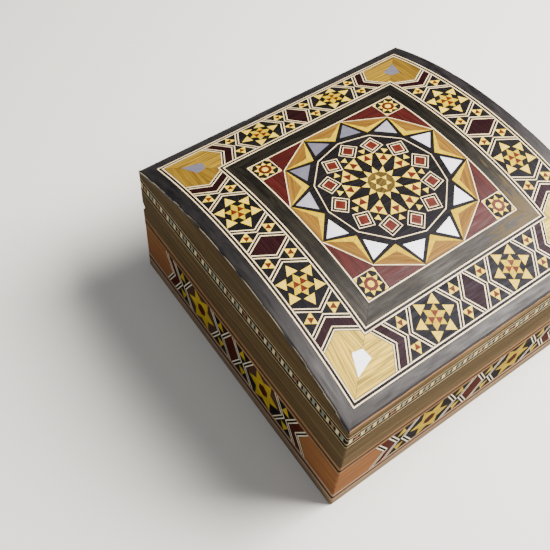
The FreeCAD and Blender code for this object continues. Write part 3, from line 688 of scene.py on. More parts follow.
def make_finishes():
    """One material for each wood and trim."""
    tint = bpy.context.scene.keepsake_colours
    raw = linear("#d8c49a")
    FINISHES.update({
        # walnut stained black and polished: near black, with pale or brown wood where an edge is rubbed
        "walnut": wood("stained_walnut_veneer", tint.walnut_pale, tint.walnut_deep, (9, 2.2), 0.4,
                       POLISHED, raw),
        "rubbed_walnut": wood("rubbed_walnut_veneer", tint.walnut_pale, tint.walnut_deep, (9, 2.2), 0.4,
                              POLISHED, linear("#8c623c")),
        # the inner frame's paler brown is a painted sheen, strongest at its front right corner under the
        # lamp's reflection
        "frame_walnut": wood("frame_walnut_veneer", linear("#1d1a14"), linear("#0b0a08"), (14, 2.0), 0.4,
                             RUBBED, linear("#443617")),
        # walnut oiled: dull brown with long straight figure, faded on the walls; the foot is paler, as
        # painted light that lifts the shade near the floor
        "foot": wood("painted_lit_foot_walnut_veneer", linear("#857259"), linear("#665642"), (60, 1.4), 0.4, OILED, raw),
        "olive": wood("wall_walnut_veneer", tint.olive_pale, tint.olive_deep, (60, 1.4), 0.4, OILED, raw),
        # strings sanded flush and oiled: matt lines, pale or dark, with little figure
        # the lower strings are paler still: painted light that lifts the shade near the floor
        "string_low": wood("painted_lit_boxwood_string", linear("#a0826a"), linear("#7c634e"), (40, 0.8), 0.2,
                           OILED, raw),
        "string_pale": wood("pale_boxwood_string", tint.string_pale, linear("#654a32"), (40, 0.8), 0.2,
                            OILED, raw),
        "string_dark": wood("dark_walnut_string", tint.string_dark, linear("#22170f"), (40, 0.8), 0.3,
                            OILED, raw),
        "thread": wood("maple_thread", linear("#cfc29c"), linear("#a39268"), (30, 0.6), 0.1, OILED, raw),
        # pearwood stained black: an even dark ground, a little cold on the lid and matt on the walls
        "ebony": wood("ebonised_pearwood", tint.ebony_pale, tint.ebony_deep, (20, 0.8), 0.3, STAINED),
        "wall_ebony": wood("ebonised_wall_ground", tint.ebony_pale, tint.ebony_deep, (20, 0.8), 0.3, OILED),
        # lemon wood and barberry, lacquered: clear yellows, deeper where the walls have aged
        "lemon": wood("lemon_wood", tint.lemon_pale, tint.lemon_deep, (14, 0.8), 0.12, LACQUERED),
        "gold": wood("barberry_wood", tint.gold_pale, tint.gold_deep, (20, 0.8), 0.12, LACQUERED),
        "amber": wood("aged_lemon_wood", tint.amber_pale, tint.amber_deep, (14, 0.8), 0.15, OILED),
        # apricot wood under varnish and cherry under oil: golden or red-brown with clear streaks
        "apricot": wood("apricot_wood", tint.apricot_pale, tint.apricot_deep, (30, 1.0), 0.2, VARNISHED),
        "honey": wood("honey_apricot_wood", linear("#7e5c24"), linear("#563a14"), (24, 0.9), 0.2, LACQUERED),
        "cherry": wood("cherry_wood", tint.cherry_pale, tint.cherry_deep, (40, 1.2), 0.25, OILED, raw),
        # woods stained red, waxed on the lid: deep reds with a soft gleam, dull on the walls
        "red": wood("red_stained_wood", tint.red_pale, tint.red_deep, (12, 0.8), 0.2, WAXED),
        "russet": wood("russet_stained_wood", linear("#5e2412"), linear("#3f150a"), (12, 0.8), 0.2,
                       LACQUERED),
        "wall_red": wood("red_wall_wood", linear("#7a483c"), linear("#58302a"), (12, 0.8), 0.2, OILED),
        "maroon": wood("maroon_stained_wood", tint.maroon_pale, tint.maroon_deep, (18, 0.8), 0.3, STAINED),
        "wall_maroon": wood("maroon_wall_wood", linear("#481d13"), linear("#2a0f09"), (18, 0.8), 0.3, OILED),
        "wine": wood("wine_stained_wood", tint.wine_pale, tint.wine_deep, (18, 0.8), 0.25, WAXED),
        "plum": wood("plum_wood", linear("#4c3428"), linear("#2e1d16"), (18, 0.8), 0.3, OILED),
        # woods stained grey-green and ochre: quiet, flat tones with short figure
        "sage": wood("sage_stained_wood", linear("#83887a"), linear("#565d52"), (10, 0.7), 0.2, OILED),
        "ochre": wood("ochre_stained_wood", linear("#544420"), linear("#382c12"), (10, 0.7), 0.2, LACQUERED),
        "bone": bone("polished_bone", tint.bone, 0.25),
        "wall_bone": bone("dulled_bone", linear("#cfc4a8"), 0.2),
        "pearl": nacre("mother_of_pearl", tint.pearl_painted_lit, tint.pearl_painted_shade),
        "velvet": velvet("cotton_velvet", tint.velvet),
        "brass": brass("tarnished_brass", tint.brass),
        # dark bar in each screw slot: tarnish, and painted shade standing in for the slot's depth
        "tarnish": brass("slot_tarnish_and_shade", linear("#3a2c18")),
        "floor": paper("matt_paper_floor", tint.floor),
    })
    # beech planed smooth: pale brown with fine long figure, along each board
    for axis in "XY":
        FINISHES[f"carcass_{axis}"] = wood(f"planed_beech_{axis.lower()}", tint.carcass, linear("#8a6437"),
                                           (45, 1.6), 0.3, OILED, solid=axis)


class KEEPSAKE_OT_carcass(bpy.types.Operator):
    """Finish the boards of the body and the lid"""
    bl_idname = "keepsake.carcass"
    bl_label = "Carcass Boards"

    def execute(self, context):
        boards = {"X": ("bottom_board", "front_wall", "back_wall", "lid_front_rail", "lid_back_rail",
                        "lid_top_board"),
                  "Y": ("left_wall", "right_wall", "lid_left_gable", "lid_right_gable")}
        for axis, names in boards.items():
            for name in names:
                coat(name, f"carcass_{axis}")
        return {"FINISHED"}


def outline_of_box(inset):
    """Rounded rectangle round the box, with each point's side and its distance along that side."""
    corner_steps, side_steps = 4, 12
    radius = size("arris")
    half = (HALF_WIDTH - inset, HALF_DEPTH - inset)
    path = []
    for number, side in enumerate(SIDES):
        run, reach = half[number % 2], half[1 - number % 2]
        turn = Matrix.Rotation(math.radians(90 * number), 3, "Z")
        stops = {-run + radius, 0.0, run - radius}
        if number % 2:
            back = HINGE_Y if side == "right" else -HINGE_Y
            stops |= {back, *[k * run / side_steps for k in range(1 - side_steps, side_steps)]}
        flat = [(a, -reach) for a in sorted(stops)]
        for step in range(1, corner_steps):
            angle = math.radians(90 * step / corner_steps)
            flat.append((run - radius + radius * math.sin(angle), -reach + radius - radius * math.cos(angle)))
        for a, b in flat:
            spot = turn @ Vector((a, b, 0))
            path.append((spot.x, spot.y, side, a))
    return path


def back_limit(y, z, sign):
    """Height of an edge at the parting line, eased by the slope behind the hinge."""
    ease = max(0.0, y - HINGE_Y) * BACK_SLOPE
    return min(z, PARTING - ease) if sign < 0 else max(z, PARTING + ease)


def facing(tray, low, high, eased=0, drop=0.0, worn_and_sheen=(0.0, 0.0)):
    """Ring of veneer round the box from one height to another.

    high may be a rule of y. eased is -1 for a ring that stops under the parting line at the back and +1
    for one that starts over it. worn is how rubbed the lower and the upper edges are.
    """
    chamfer, rubbed_in, corner_reach, corner_wear = 0.12, 0.9, 1.0, 0.55
    outer, cut, inner = [outline_of_box(inset) for inset in (drop, drop + chamfer, VENEER)]
    halves = {side: (HALF_WIDTH, HALF_DEPTH)[number % 2] for number, side in enumerate(SIDES)}
    points, lay, wear_and_sheen = [], [], []
    tones = {side: tray.random.random() for side in SIDES}
    shifts = {side: tray.random.uniform(0, 300) for side in SIDES}
    rows = ((inner, 0, 0.0, 0), (cut, 0, 0.0, worn_and_sheen[0]), (outer, 0, chamfer, worn_and_sheen[0] * 0.8),
            (outer, 0, rubbed_in, 0), (outer, 1, -rubbed_in, 0), (outer, 1, -chamfer, worn_and_sheen[1] * 0.8),
            (cut, 1, 0.0, worn_and_sheen[1]), (inner, 1, 0.0, 0))
    for path, end, shift, rub_and_sheen in rows:
        for x, y, side, a in path:
            bottom = back_limit(y, low, 1) if eased > 0 else low
            top = high(y) if callable(high) else high
            top = back_limit(y, top, -1) if eased < 0 else top
            limit = (top - bottom) * 0.45
            z = bottom + min(shift, limit) if end == 0 else top + max(shift, -limit)
            points.append(Vector((x, y, z)) * MM)
            lay.append((a + shifts[side], z, tones[side]))
            corner = abs(a) > halves[side] - corner_reach
            wear_and_sheen.append(max(rub_and_sheen, corner_wear if corner and 0 < abs(shift) else 0.0))
    levels, count = len(rows), len(outer)
    faces = []
    for level in range(levels):
        here, above = level * count, (level + 1) % levels * count
        for index in range(count):
            after = (index + 1) % count
            faces.append([here + index, here + after, above + after, above + index])
    tray.shell(points, faces, lay, wear_and_sheen)


class KEEPSAKE_OT_facings(bpy.types.Operator):
    """Face the walls with plain veneers and the lines between them"""
    bl_idname = "keepsake.facings"
    bl_label = "Wall Veneers"

    def execute(self, context):
        def under_skin(y):
            return ARCH_AXIS + math.sqrt((ARCH_RADIUS - VENEER) ** 2 - y * y)

        foot, pale, dark = Tray(11), Tray(12), Tray(13)
        band, upper, gable, low = Tray(14), Tray(15), Tray(16), Tray(17)
        # the foot and the lower strings are finished paler, as painted light that lifts the shade near the
        # floor
        facing(foot, 0.0, FOOT, worn_and_sheen=(0.4, 0.2))
        foot.finish("foot_veneer", "foot", "body", "walnut", "foot_strips")
        third = (MOSAIC_LOW - FOOT) / 3
        facing(low, FOOT, FOOT + third, worn_and_sheen=(0.4, 0.5))
        facing(dark, FOOT + third, FOOT + 2 * third)
        facing(low, FOOT + 2 * third, MOSAIC_LOW, worn_and_sheen=(0.4, 0.4))
        low.finish("pale_foot_strings", "string_low", "body", "walnut", "lower_stringing")
        third = (BAND_LOW - MOSAIC_HIGH) / 3
        facing(pale, MOSAIC_HIGH, MOSAIC_HIGH + third, worn_and_sheen=(0.4, 0.4))
        upper_line = MOSAIC_HIGH + 1.8 * third
        facing(dark, MOSAIC_HIGH + third, upper_line)
        facing(pale, upper_line, BAND_LOW, worn_and_sheen=(0.3, 0.8))
        pale.finish("pale_wall_strings", "string_pale", "body", "walnut", "upper_stringing")
        dark.finish("dark_wall_strings", "string_dark", "body", "walnut")
        facing(band, BAND_LOW, PARTING, -1, worn_and_sheen=(0.2, 0.72))
        band.finish("body_band_veneer", "olive", "body", "walnut", *[f"body_band_{side}" for side in SIDES])
        facing(upper, PARTING, ROPE_LOW, 1, worn_and_sheen=(0.72, 0.2))
        upper.finish("lid_band_veneer", "olive", "lid", "walnut", "lid_bands")
        facing(gable, ROPE_HIGH, under_skin, worn_and_sheen=(0.2, 0.7))
        gable.finish("gable_and_eave_veneer", "olive", "lid", "walnut", "eave_strip_front",
                     "eave_strip_back", "gable_veneer_left", "gable_veneer_right")
        return {"FINISHED"}


class KEEPSAKE_OT_rope(bpy.types.Operator):
    """Lay the rope stringing round the lid: two white threads with bars of coloured wood between"""
    bl_idname = "keepsake.rope"
    bl_label = "Rope Stringing"

    def execute(self, context):
        height = ROPE_HIGH - ROPE_LOW
        bar_low, bar_high = ROPE_LOW + ROPE_UNDER * height, ROPE_HIGH - ROPE_OVER * height
        string = ROPE_THREAD * height
        threads, edging, ground = Tray(19), Tray(20), Tray(21)
        facing(ground, bar_low, bar_high, drop=size("ground_drop"))
        ground.finish("rope_ground", "string_dark", "lid", "walnut", "rope_stringing")
        for low, high in ((ROPE_LOW, bar_low), (bar_high, ROPE_HIGH)):
            facing(threads, low, low + string, worn_and_sheen=(0.3, 0.3))
            facing(edging, low + string, high - string)
            facing(threads, high - string, high, worn_and_sheen=(0.3, 0.3))
        edging.finish("rope_edging", "string_dark", "lid", "walnut")
        threads.finish("rope_threads", "thread", "lid", "bone_stringing")
        trays = trays_of(22, "thread", "wall_ebony", "sage", "wall_red", "string_pale")
        middles = ("sage", "sage", "sage", "string_pale", "wall_red")
        picks = random.Random(5)
        for wall in WALLS:
            half = wall.half - ROPE_END
            repeats = int(2 * half / size("rope_step"))
            pitch = 2 * half / repeats
            for repeat in range(repeats):
                start = -half + repeat * pitch
                woods = ("thread", "wall_ebony", picks.choice(middles), "wall_ebony")
                for name, share in zip(woods, ROPE_BARS):
                    stop = start + share * pitch
                    bar = [(start, bar_low), (stop, bar_low), (stop, bar_high), (start, bar_high)]
                    trays[name].chip(wall, bar, 90)
                    start = stop
        finish_trays(trays, "rope_{}_bars", "lid", {}, {})
        return {"FINISHED"}


def leaning(near, far, lean, half):
    """Two mitred pieces of a chevron that points at the band's middle."""
    return [[(near, 0), (far, 0), (far + lean, sign * half), (near + lean, sign * half)] for sign in ENDS]


def split_triangle(a, b, c):
    """Three corner triangles and the middle one."""
    ab, bc, ca = midway(a, b), midway(b, c), midway(c, a)
    return [[a, ab, ca], [b, bc, ab], [c, ca, bc]], [ab, bc, ca]


def star_band(height, reach, plain):
    """Pieces of one star band by wood, with p along it and q across it, and where its end block starts.

    From the middle: a maroon rhombus, a star cell, a maroon chevron, then the end block. White lines lean
    between them. A plain band, as on the walls, has whole small triangles and stars with one dark heart.
    """
    half = height / 2
    lean = half / math.sqrt(3)
    line = LINE_SHARE * height
    cell_half = 2 * lean + CELL_ROOM_SHARE * height
    near = lean + line
    cell = near + line + cell_half
    far = cell + cell_half + line
    chevron = far + line + CHEVRON_SHARE * height
    block = chevron + line
    stretch = reach / (block + lean)
    rhombus = [(-lean, 0), (0, -half), (lean, 0), (0, half)]
    pieces = {"maroon": [rhombus], "bone": [], "lemon": [], "gold": [], "red": []}
    white = line * WHITE_SHARE
    edge = line * WHITE_EDGE_SHARE
    for start in (edge, line - white - edge):
        for left, tilt in ((lean + start, -lean), (near + start, lean), (far - start - white, -lean),
                           (far + start, lean), (chevron + start, lean)):
            pieces["bone"] += leaning(left, left + white, tilt, half)
    pieces["maroon"] += leaning(far + line, chevron, lean, half)
    wide, deep = BOW_TIE_SHARE * lean / 2, half - BOW_TIE_SHARE * half / 2
    wide *= WALL_BOW_TIE_SQUEEZE if plain else 1
    for vertex in (near, far):
        for sign in ENDS:
            corners = [(vertex, sign * half), (vertex - wide, sign * deep), (vertex + wide, sign * deep)]
            if plain:
                pieces["lemon"].append(corners)
            else:
                three, middle = split_triangle(*corners)
                pieces["lemon"] += three
                pieces["red"].append(middle)
    for outlines in pieces.values():
        outlines += [[(-p, q) for p, q in outline] for outline in outlines if outline is not rhombus]
    pieces = {name: [[(p * stretch, q) for p, q in outline] for outline in outlines]
              for name, outlines in pieces.items()}
    if plain:
        quarter = ((near + line, 0), (far - line, 0), (far - line - lean, half), (near + line + lean, half))
        pieces["plum"] = [[(side * p * stretch, sign * q) for p, q in quarter]
                          for side in ENDS for sign in ENDS]
    squeeze = WALL_STAR_SQUEEZE if plain else 1
    for side in ENDS:
        for name, outlines in star(height, plain).items():
            pieces[name] += [[(side * cell * stretch + squeeze * p, q) for p, q in outline]
                             for outline in outlines]
    return pieces, block * stretch


def star(height, plain):
    """Pieces of one six-pointed star by wood."""
    tip = STAR_TIP_SHARE * height
    side = STAR_SIDE_SHARE * height
    base = tip - side * math.sqrt(3) / 2
    inner = base / math.sqrt(3)
    spread = math.degrees(math.atan2(side / 2, base))
    pieces = {"lemon": [], "gold": [], "red": [], "maroon": []}
    for number in range(6):
        turn = 60 * number
        wings = [polar(inner, turn + 30), polar(inner, turn - 30)]
        if plain:
            edge = [polar(base, turn + 30), polar(base, turn - 30)]
            pieces["lemon"] += [[polar(tip, turn), *edge], [edge[0], wings[0], wings[1], edge[1]]]
            continue
        pieces["lemon"].append(spike(tip, math.hypot(base, side / 2), turn, spread))
        if number % 2 == 0:
            pieces["gold"].append([polar(base, turn), wings[0], (0, 0), wings[1]])
        else:
            pieces["gold"].append([polar(base, turn), *wings])
            pieces["red"].append([(0, 0), *wings])
    if plain:
        pieces["maroon"].append([polar(inner, 60 * number + 30) for number in range(6)])
    return pieces


class KEEPSAKE_OT_wall_mosaics(bpy.types.Operator):
    """Lay the star bands on the four walls"""
    bl_idname = "keepsake.wall_mosaics"
    bl_label = "Wall Mosaics"

    def execute(self, context):
        drop = size("ground_drop")
        blocks, ground = Tray(30), Tray(31)
        facing(blocks, MOSAIC_LOW, MOSAIC_HIGH, drop=drop, worn_and_sheen=(0.4, 0.4))
        blocks.finish("wall_end_block_veneer", "cherry", "body", "apricot_wood", "wall_end_blocks")
        trays = trays_of(32, "maroon", "bone", "lemon", "plum")
        height = MOSAIC_HIGH - MOSAIC_LOW
        middle = (MOSAIC_HIGH + MOSAIC_LOW) / 2
        for wall in WALLS:
            reach = wall.half - WALL_BLOCK
            pieces, block = star_band(height, reach, True)
            for name, outlines in pieces.items():
                top = -0.4 * drop if name == "plum" else 0.0
                for outline in outlines:
                    trays[name].chip(wall, [(p, middle + q) for p, q in outline], 0.0, top)
            for sign in ENDS:
                half = [(-block, 0), (block, 0), (reach, sign * height / 2), (-reach, sign * height / 2)]
                ground.chip(wall, [(p, middle + q) for p, q in half], 0.0, -0.5 * drop, 0.0)
        ground.finish("wall_mosaic_ground", "wall_ebony", "body", "ebony_stain",
                      *[f"mosaic_{side}" for side in SIDES])
        finish_trays(trays, "wall_{}_pieces", "body", {"maroon": "wall_maroon", "lemon": "wall_star_points"},
                     {"maroon": "wall_maroon", "bone": "wall_bone", "lemon": "amber"})
        return {"FINISHED"}


def ring(inset, width):
    """Four mitred strips round the lid, each with the direction of its grain."""
    a, b = HALF_WIDTH - inset, HALF_ARC - inset
    c, d = a - width, b - width
    outer = [(-a, -b), (a, -b), (a, b), (-a, b)]
    inner = [(-c, -d), (c, -d), (c, d), (-c, d)]
    strips = []
    for first in range(4):
        second = (first + 1) % 4
        strips.append(([outer[first], outer[second], inner[second], inner[first]], 90 * (first % 2)))
    return strips


def edge_strip(tray, number, side):
    """One mitred strip along an edge of the lid, with an uneven, splintered arris."""
    halves = (HALF_WIDTH, HALF_ARC)
    along, reach = halves[number % 2], halves[1 - number % 2]
    profile = (EAVE_PROFILE, GABLE_PROFILE)[number % 2]
    tone, shift = tray.random.random(), tray.random.uniform(0, 200)
    points, lay, wear_and_sheen = [], [], []
    for index in range(EDGE_STEPS + 1):
        share = 2 * index / EDGE_STEPS - 1
        nick = NICK_LEAST + NICK_SWING * math.sin(share * along / NICK_LENGTH + number)
        nick += tray.random.uniform(0, NICK_SWING)
        for middle, half, depth in SPLINTERS[side]:
            grown = (share * along - middle + half) / (2 * half)
            nick += depth * grown if 0 < grown < 1 else 0.0
        for inset, height, rub_and_sheen in profile:
            bite = nick * rub_and_sheen if 0 < index < EDGE_STEPS else 0.0
            a, b = share * (along - inset), reach - inset - bite * NICK_BACK
            flat = {"front": (a, -b), "right": (b, a), "back": (-a, b), "left": (-b, -a)}[side]
            points.append(ARCH.point(*flat, max(height - bite * NICK_DOWN, -VENEER)))
            lay.append((a + shift, inset, tone))
            wear_and_sheen.append(min(WEAR_MOST, rub_and_sheen * (WEAR_LEAST + WEAR_BY_NICK * bite)))
    rows = len(profile)
    faces = []
    for start in range(0, EDGE_STEPS * rows, rows):
        for row in range(rows):
            after = (row + 1) % rows
            faces.append([start + after, start + rows + after, start + rows + row, start + row])
    faces += [list(range(rows)), [EDGE_STEPS * rows + row for row in reversed(range(rows))]]
    tray.shell(points, faces, lay, wear_and_sheen)


class KEEPSAKE_OT_lid_edges(bpy.types.Operator):
    """Lay the dark strips along the lid's edges and round its star panel"""
    bl_idname = "keepsake.lid_edges"
    bl_label = "Lid Edge Strips"

    def execute(self, context):
        eaves, gables, inner = Tray(41), Tray(43), Tray(42)
        for number, side in enumerate(SIDES):
            edge_strip((eaves, gables)[number % 2], number, side)
        eaves.finish("lid_eave_strips", "rubbed_walnut", "lid", "walnut", "lid_edge_front", "lid_edge_back")
        gables.finish("lid_gable_strips", "walnut", "lid", "walnut", "lid_edge_left", "lid_edge_right")
        for outline, grain in ring(FRAME_OUT, PANEL_LINE - FRAME_OUT):
            inner.chip(ARCH, outline, grain, depth=VENEER)
        # painted sheen: the inner frame is painted paler towards its front right corner, where the lamp's
        # reflection falls
        corner = ARCH.point(HALF_WIDTH - FRAME_OUT, FRAME_OUT - HALF_ARC, 0.0)
        distances = [(inner.points[index] - corner).length / MM for face in inner.faces for index in face]
        inner.wear_and_sheen = [max(0.0, PAINTED_SHEEN - distance / PAINTED_SHEEN_REACH) for distance in distances]
        inner.finish("lid_inner_frame", "frame_walnut", "lid", "walnut", "inner_frame")
        return {"FINISHED"}


class KEEPSAKE_OT_lid_lines(bpy.types.Operator):
    """Lay the double white lines on both sides of the border and the line round the star panel"""
    bl_idname = "keepsake.lid_lines"
    bl_label = "Lid Stringing"

    def execute(self, context):
        white, dark = Tray(51), Tray(52)
        thread, edge = size("string_white"), size("string_inset")
        rings = ((STRING_OUT, BORDER_OUT), (STRING_IN, FRAME_OUT), (PANEL_LINE, PANEL))
        for start, stop in rings:
            dark.ground(ring(start, stop - start))
        pairs = [inset for start, stop in rings[:2] for inset in (start + edge, stop - edge - thread)]
        for inset in [*pairs, (PANEL_LINE + PANEL - thread) / 2]:
            for outline, grain in ring(inset, thread):
                white.chip(ARCH, outline, grain, 0.0, 0.0)
        white.finish("lid_white_lines", "bone", "lid", "bone_stringing", "outer_stringing",
                     "inner_stringing", "panel_line")
        dark.finish("lid_dark_lines", "ebony", "lid", "ebony_stain")
        return {"FINISHED"}


class KEEPSAKE_OT_lid_border(bpy.types.Operator):
    """Lay the star band round the lid, with its golden corners and pearl kites"""
    bl_idname = "keepsake.lid_border"
    bl_label = "Lid Border"

    def execute(self, context):
        width = STRING_IN - BORDER_OUT
        ground = Tray(61)
        ground.ground(ring(BORDER_OUT, width))
        ground.finish("border_ground_veneer", "ebony", "lid", "ebony_stain", "border_ground")
        trays = trays_of(62, "maroon", "bone", "lemon", "gold", "red", "apricot", "pearl")
        outer = (HALF_WIDTH - BORDER_OUT, HALF_ARC - BORDER_OUT)
        inner = (outer[0] - width, outer[1] - width)
        middle = (outer[0] - width / 2, outer[1] - width / 2)
        ends = []
        for axis in (0, 1):
            flat = inner[axis] - CORNER_FLAT
            pieces, block = star_band(width, flat, False)
            ends.append((flat, block))
            for sign in ENDS:
                for name, outlines in pieces.items():
                    for outline in outlines:
                        laid = [(p, sign * (middle[1 - axis] + q)) for p, q in outline]
                        trays[name].chip(ARCH, [point[::-1] for point in laid] if axis else laid, 90 * axis)
        (flat_u, block_u), (flat_v, block_v) = ends
        along = [outer, (flat_u, outer[1]), (block_u, middle[1]), (flat_u, inner[1]), inner]
        across = [outer, (outer[0], flat_v), (middle[0], block_v), (inner[0], flat_v), inner]
        # the half across the arch has split along its grain, from its point to the pearl
        split = (outer[0] - SPLIT_SHARE * width, outer[1] - SPLIT_SHARE * width)
        kite = [(outer[0] - a * width, outer[1] - b * width) for a, b in KITE]
        for su in ENDS:
            for sv in ENDS:
                # painted light and shade: the blocks and kites at the front get lighter tones, those at the
                # back darker
                pale, deep, pearl = BLOCK_TONES_AND_SHADE[sv]
                for half, grain, tone in ((along, 0, pale), ([*across[:3], split], 90 - SPLIT_LEAN, deep),
                                          ([*across[2:], split], 90 + SPLIT_LEAN, deep)):
                    laid = [(su * u, sv * v) for u, v in half]
                    trays["apricot"].chip(ARCH, laid, grain, -BLOCK_DROP, BLOCK_GAP, tone=tone)
                trays["pearl"].chip(ARCH, [(su * u, sv * v) for u, v in kite], 45, tone=pearl)
        finish_trays(trays, "border_{}_pieces", "lid",
                     {"maroon": "border_maroon", "lemon": "border_star_points", "apricot": "corner_blocks",
                      "pearl": "corner_kites"}, {"red": "russet"})
        return {"FINISHED"}


class KEEPSAKE_OT_lid_star(bpy.types.Operator):
    """Lay the square panel with its twelve-pointed star"""
    bl_idname = "keepsake.lid_star"
    bl_label = "Star Panel"

    def execute(self, context):
        rim, rise = HALF_WIDTH - PANEL, HALF_ARC - PANEL
        trays = trays_of(72, "bone", "lemon", "gold", "honey", "pearl", "red", "wine", "ochre")

        def chip(name, outline, grain=0.0, top=0.0, gap=None, tone=None):
            laid = [(u, v * rise / rim) for u, v in outline]
            trays[name].chip(ARCH, laid, grain, top, gap, tone=tone)

        ground = Tray(71)
        ground.ground([([(-rim, -rise), (rim, -rise), (rim, rise), (-rim, rise)], 0.0)])
        ground.finish("star_panel_ground", "ebony", "lid", "ebony_stain", "star_panel")
        line, picks = size("star_line"), random.Random(7)
        self.points_and_pearls(chip, rim, line)
        self.corners(chip, rim, line)
        self.ring_of_squares(chip, picks)
        self.rosette(chip, picks)
        finish_trays(trays, "star_{}_pieces", "lid",
                     {"gold": "star_point_arms", "honey": "star_point_hearts", "pearl": "pearl_triangles",
                      "red": "ring_squares", "wine": "bordeaux_triangles"}, {})
        return {"FINISHED"}

    def points_and_pearls(self, chip, rim, line):
        """Twelve points, each of two yellow arms and a golden heart, with pearl triangles between them."""
        reach = 1 / math.cos(math.radians(15))
        pearl_base = math.hypot(PEARL_BASE, PEARL_HALF)
        pearl_spread = math.degrees(math.atan2(PEARL_HALF, PEARL_BASE))
        inner = DODECAGON - line / math.cos(math.radians(15))
        for turn in range(0, 360, 30):
            on_edge = turn % 90 == 0
            foot = (rim - (EDGE_ROOM if on_edge else line)) * reach
            feet = [polar(foot, turn - 15), polar(foot, turn + 15)]
            tip, heart = polar(POINT_TIP, turn), polar(POINT_HEART, turn)
            for side, lean in zip(feet, (-30, 30)):
                chip("gold", [side, tip, heart], turn + 90 + lean)
            chip("honey", [*feet, heart], turn + 90)
            if not on_edge:
                ends = [polar(rim * reach, turn - 15), polar(rim * reach, turn + 15)]
                chip("bone", [feet[0], ends[0], ends[1], feet[1]], turn + 90, 0.0, 0.0)
            gap = turn + 15
            # painted light and shade: pearls on the side towards the lamp are painted brighter, those away
            # from it dimmer
            painted_light = math.cos(math.radians(gap - PAINTED_PEARL_LIGHT))
            chip("pearl", spike(PEARL_TIP, pearl_base, gap, pearl_spread), gap,
                 tone=min(1.0, max(0.0, PEARL_TONE + PEARL_SWING * painted_light)))
            chip("bone", [polar(DODECAGON, turn), polar(DODECAGON, turn + 30), polar(inner, turn + 30),
                          polar(inner, turn)], turn + 105, 0.0, 0.0)

    def corners(self, chip, rim, line):
        """Small square with an eightfold star in each corner, beside two dark red triangles."""
        shoulder = rim * math.tan(math.radians(15)) + TRIANGLE_ROOM
        start = rim / math.cos(math.radians(15)) * math.sqrt(0.5) + CORNER_ROOM
        edge = rim - EDGE_ROOM
        near, stop = start - line / 2, start + line
        triangle = [(shoulder, edge), (near, edge), (near, near)]
        frame_line = [(start, start), (stop, stop), (stop, edge), (start, edge)]
        middle, half = (stop + edge) / 2, (edge - stop) / 2
        heart, eye, ray, leg = 0.62 * half, 0.31 * half, 1.02 * half, 0.36 * half
        for su in ENDS:
            for sv in ENDS:
                for turn in (0, 90):
                    for name, outline, grain in (("wine", triangle, 0), ("bone", frame_line, 90)):
                        laid = [point[::-1] for point in outline] if turn else outline
                        chip(name, [(su * u, sv * v) for u, v in laid], grain + turn)
                centre = (su * middle, sv * middle)
                chip("lemon", moved([polar(eye, turn) for turn in range(0, 360, 45)], centre))
                for turn in range(0, 360, 45):
                    side = [polar(heart, turn), polar(heart, turn + 45)]
                    chip("red", moved([polar(eye, turn), *side, polar(eye, turn + 45)], centre), turn)
                    chip("lemon", moved([*side, polar(ray, turn + 22.5)], centre), turn)
                for turn in range(0, 360, 90):
                    tip = [(half, half), (half - leg, half), (half, half - leg)]
                    chip("lemon", moved(tip, centre, turn), 45)

    def ring_of_squares(self, chip, picks):
        """Twelve squares set on a corner: white, dark and white frames round a red heart."""
        a = SQUARE_HEART
        slip, swing, twist = 0.25, 0.5, 3
        for turn in range(0, 360, 30):
            centre = polar(SQUARES_AT + picks.uniform(-slip, slip), turn + picks.uniform(-swing, swing))
            tilt = turn + 45 + picks.uniform(-twist, twist)
            for outer, inner in SQUARE_LINES:
                side = [(-outer, -outer), (outer, -outer), (inner, -inner), (-inner, -inner)]
                for quarter in range(4):
                    chip("bone", moved(side, centre, tilt + 90 * quarter), tilt + 90 * quarter, 0.0, 0.0)
            chip("red", moved([(-a, -a), (a, -a), (a, a), (-a, a)], centre, tilt), tilt)

    def rosette(self, chip, picks):
        """Twelve split triangles round a ring of yellow points, and an ochre heart with cream specks."""
        base = math.hypot(PETAL_BASE, PETAL_HALF)
        spread = math.degrees(math.atan2(PETAL_HALF, PETAL_BASE))
        swing, grain_swing, heart_grain, heart_drop = 0.8, 40, 20, 0.04
        for number in range(12):
            turn = 30 * number + 15 + picks.uniform(-swing, swing)
            three, middle = split_triangle(*spike(PETAL_TIP, base, turn, spread))
            for outline in three:
                chip("lemon", outline, turn + picks.uniform(-grain_swing, grain_swing))
            chip("red", middle, turn)
            chip("lemon", spike(SMALL_TIP, SMALL_BASE, turn, SMALL_SPREAD), turn + 30)
            chip("lemon", spike(RAY_TIP, RAY_BASE, turn, RAY_SPREAD), turn)
        chip("ochre", [polar(ROSETTE, turn) for turn in range(0, 360, 30)], heart_grain, -heart_drop)
        for turn in range(SPECK_TURN, SPECK_TURN + 360, 60):
            chip("lemon", spike(SPECK_TIP, SPECK_BASE, turn, SPECK_SPREAD), turn)


def cloth_stops(reach):
    """Places across a sheet of velvet, close together where its edges roll under."""
    rolled = (0.0, 0.12, 0.35, VELVET_ROLL)
    step = 4.0
    inner = reach - 2 * VELVET_ROLL
    count = max(2, round(inner / step))
    middle = [VELVET_ROLL + inner * k / count for k in range(1, count)]
    return [*rolled, *middle, *[reach - x for x in reversed(rolled)]]


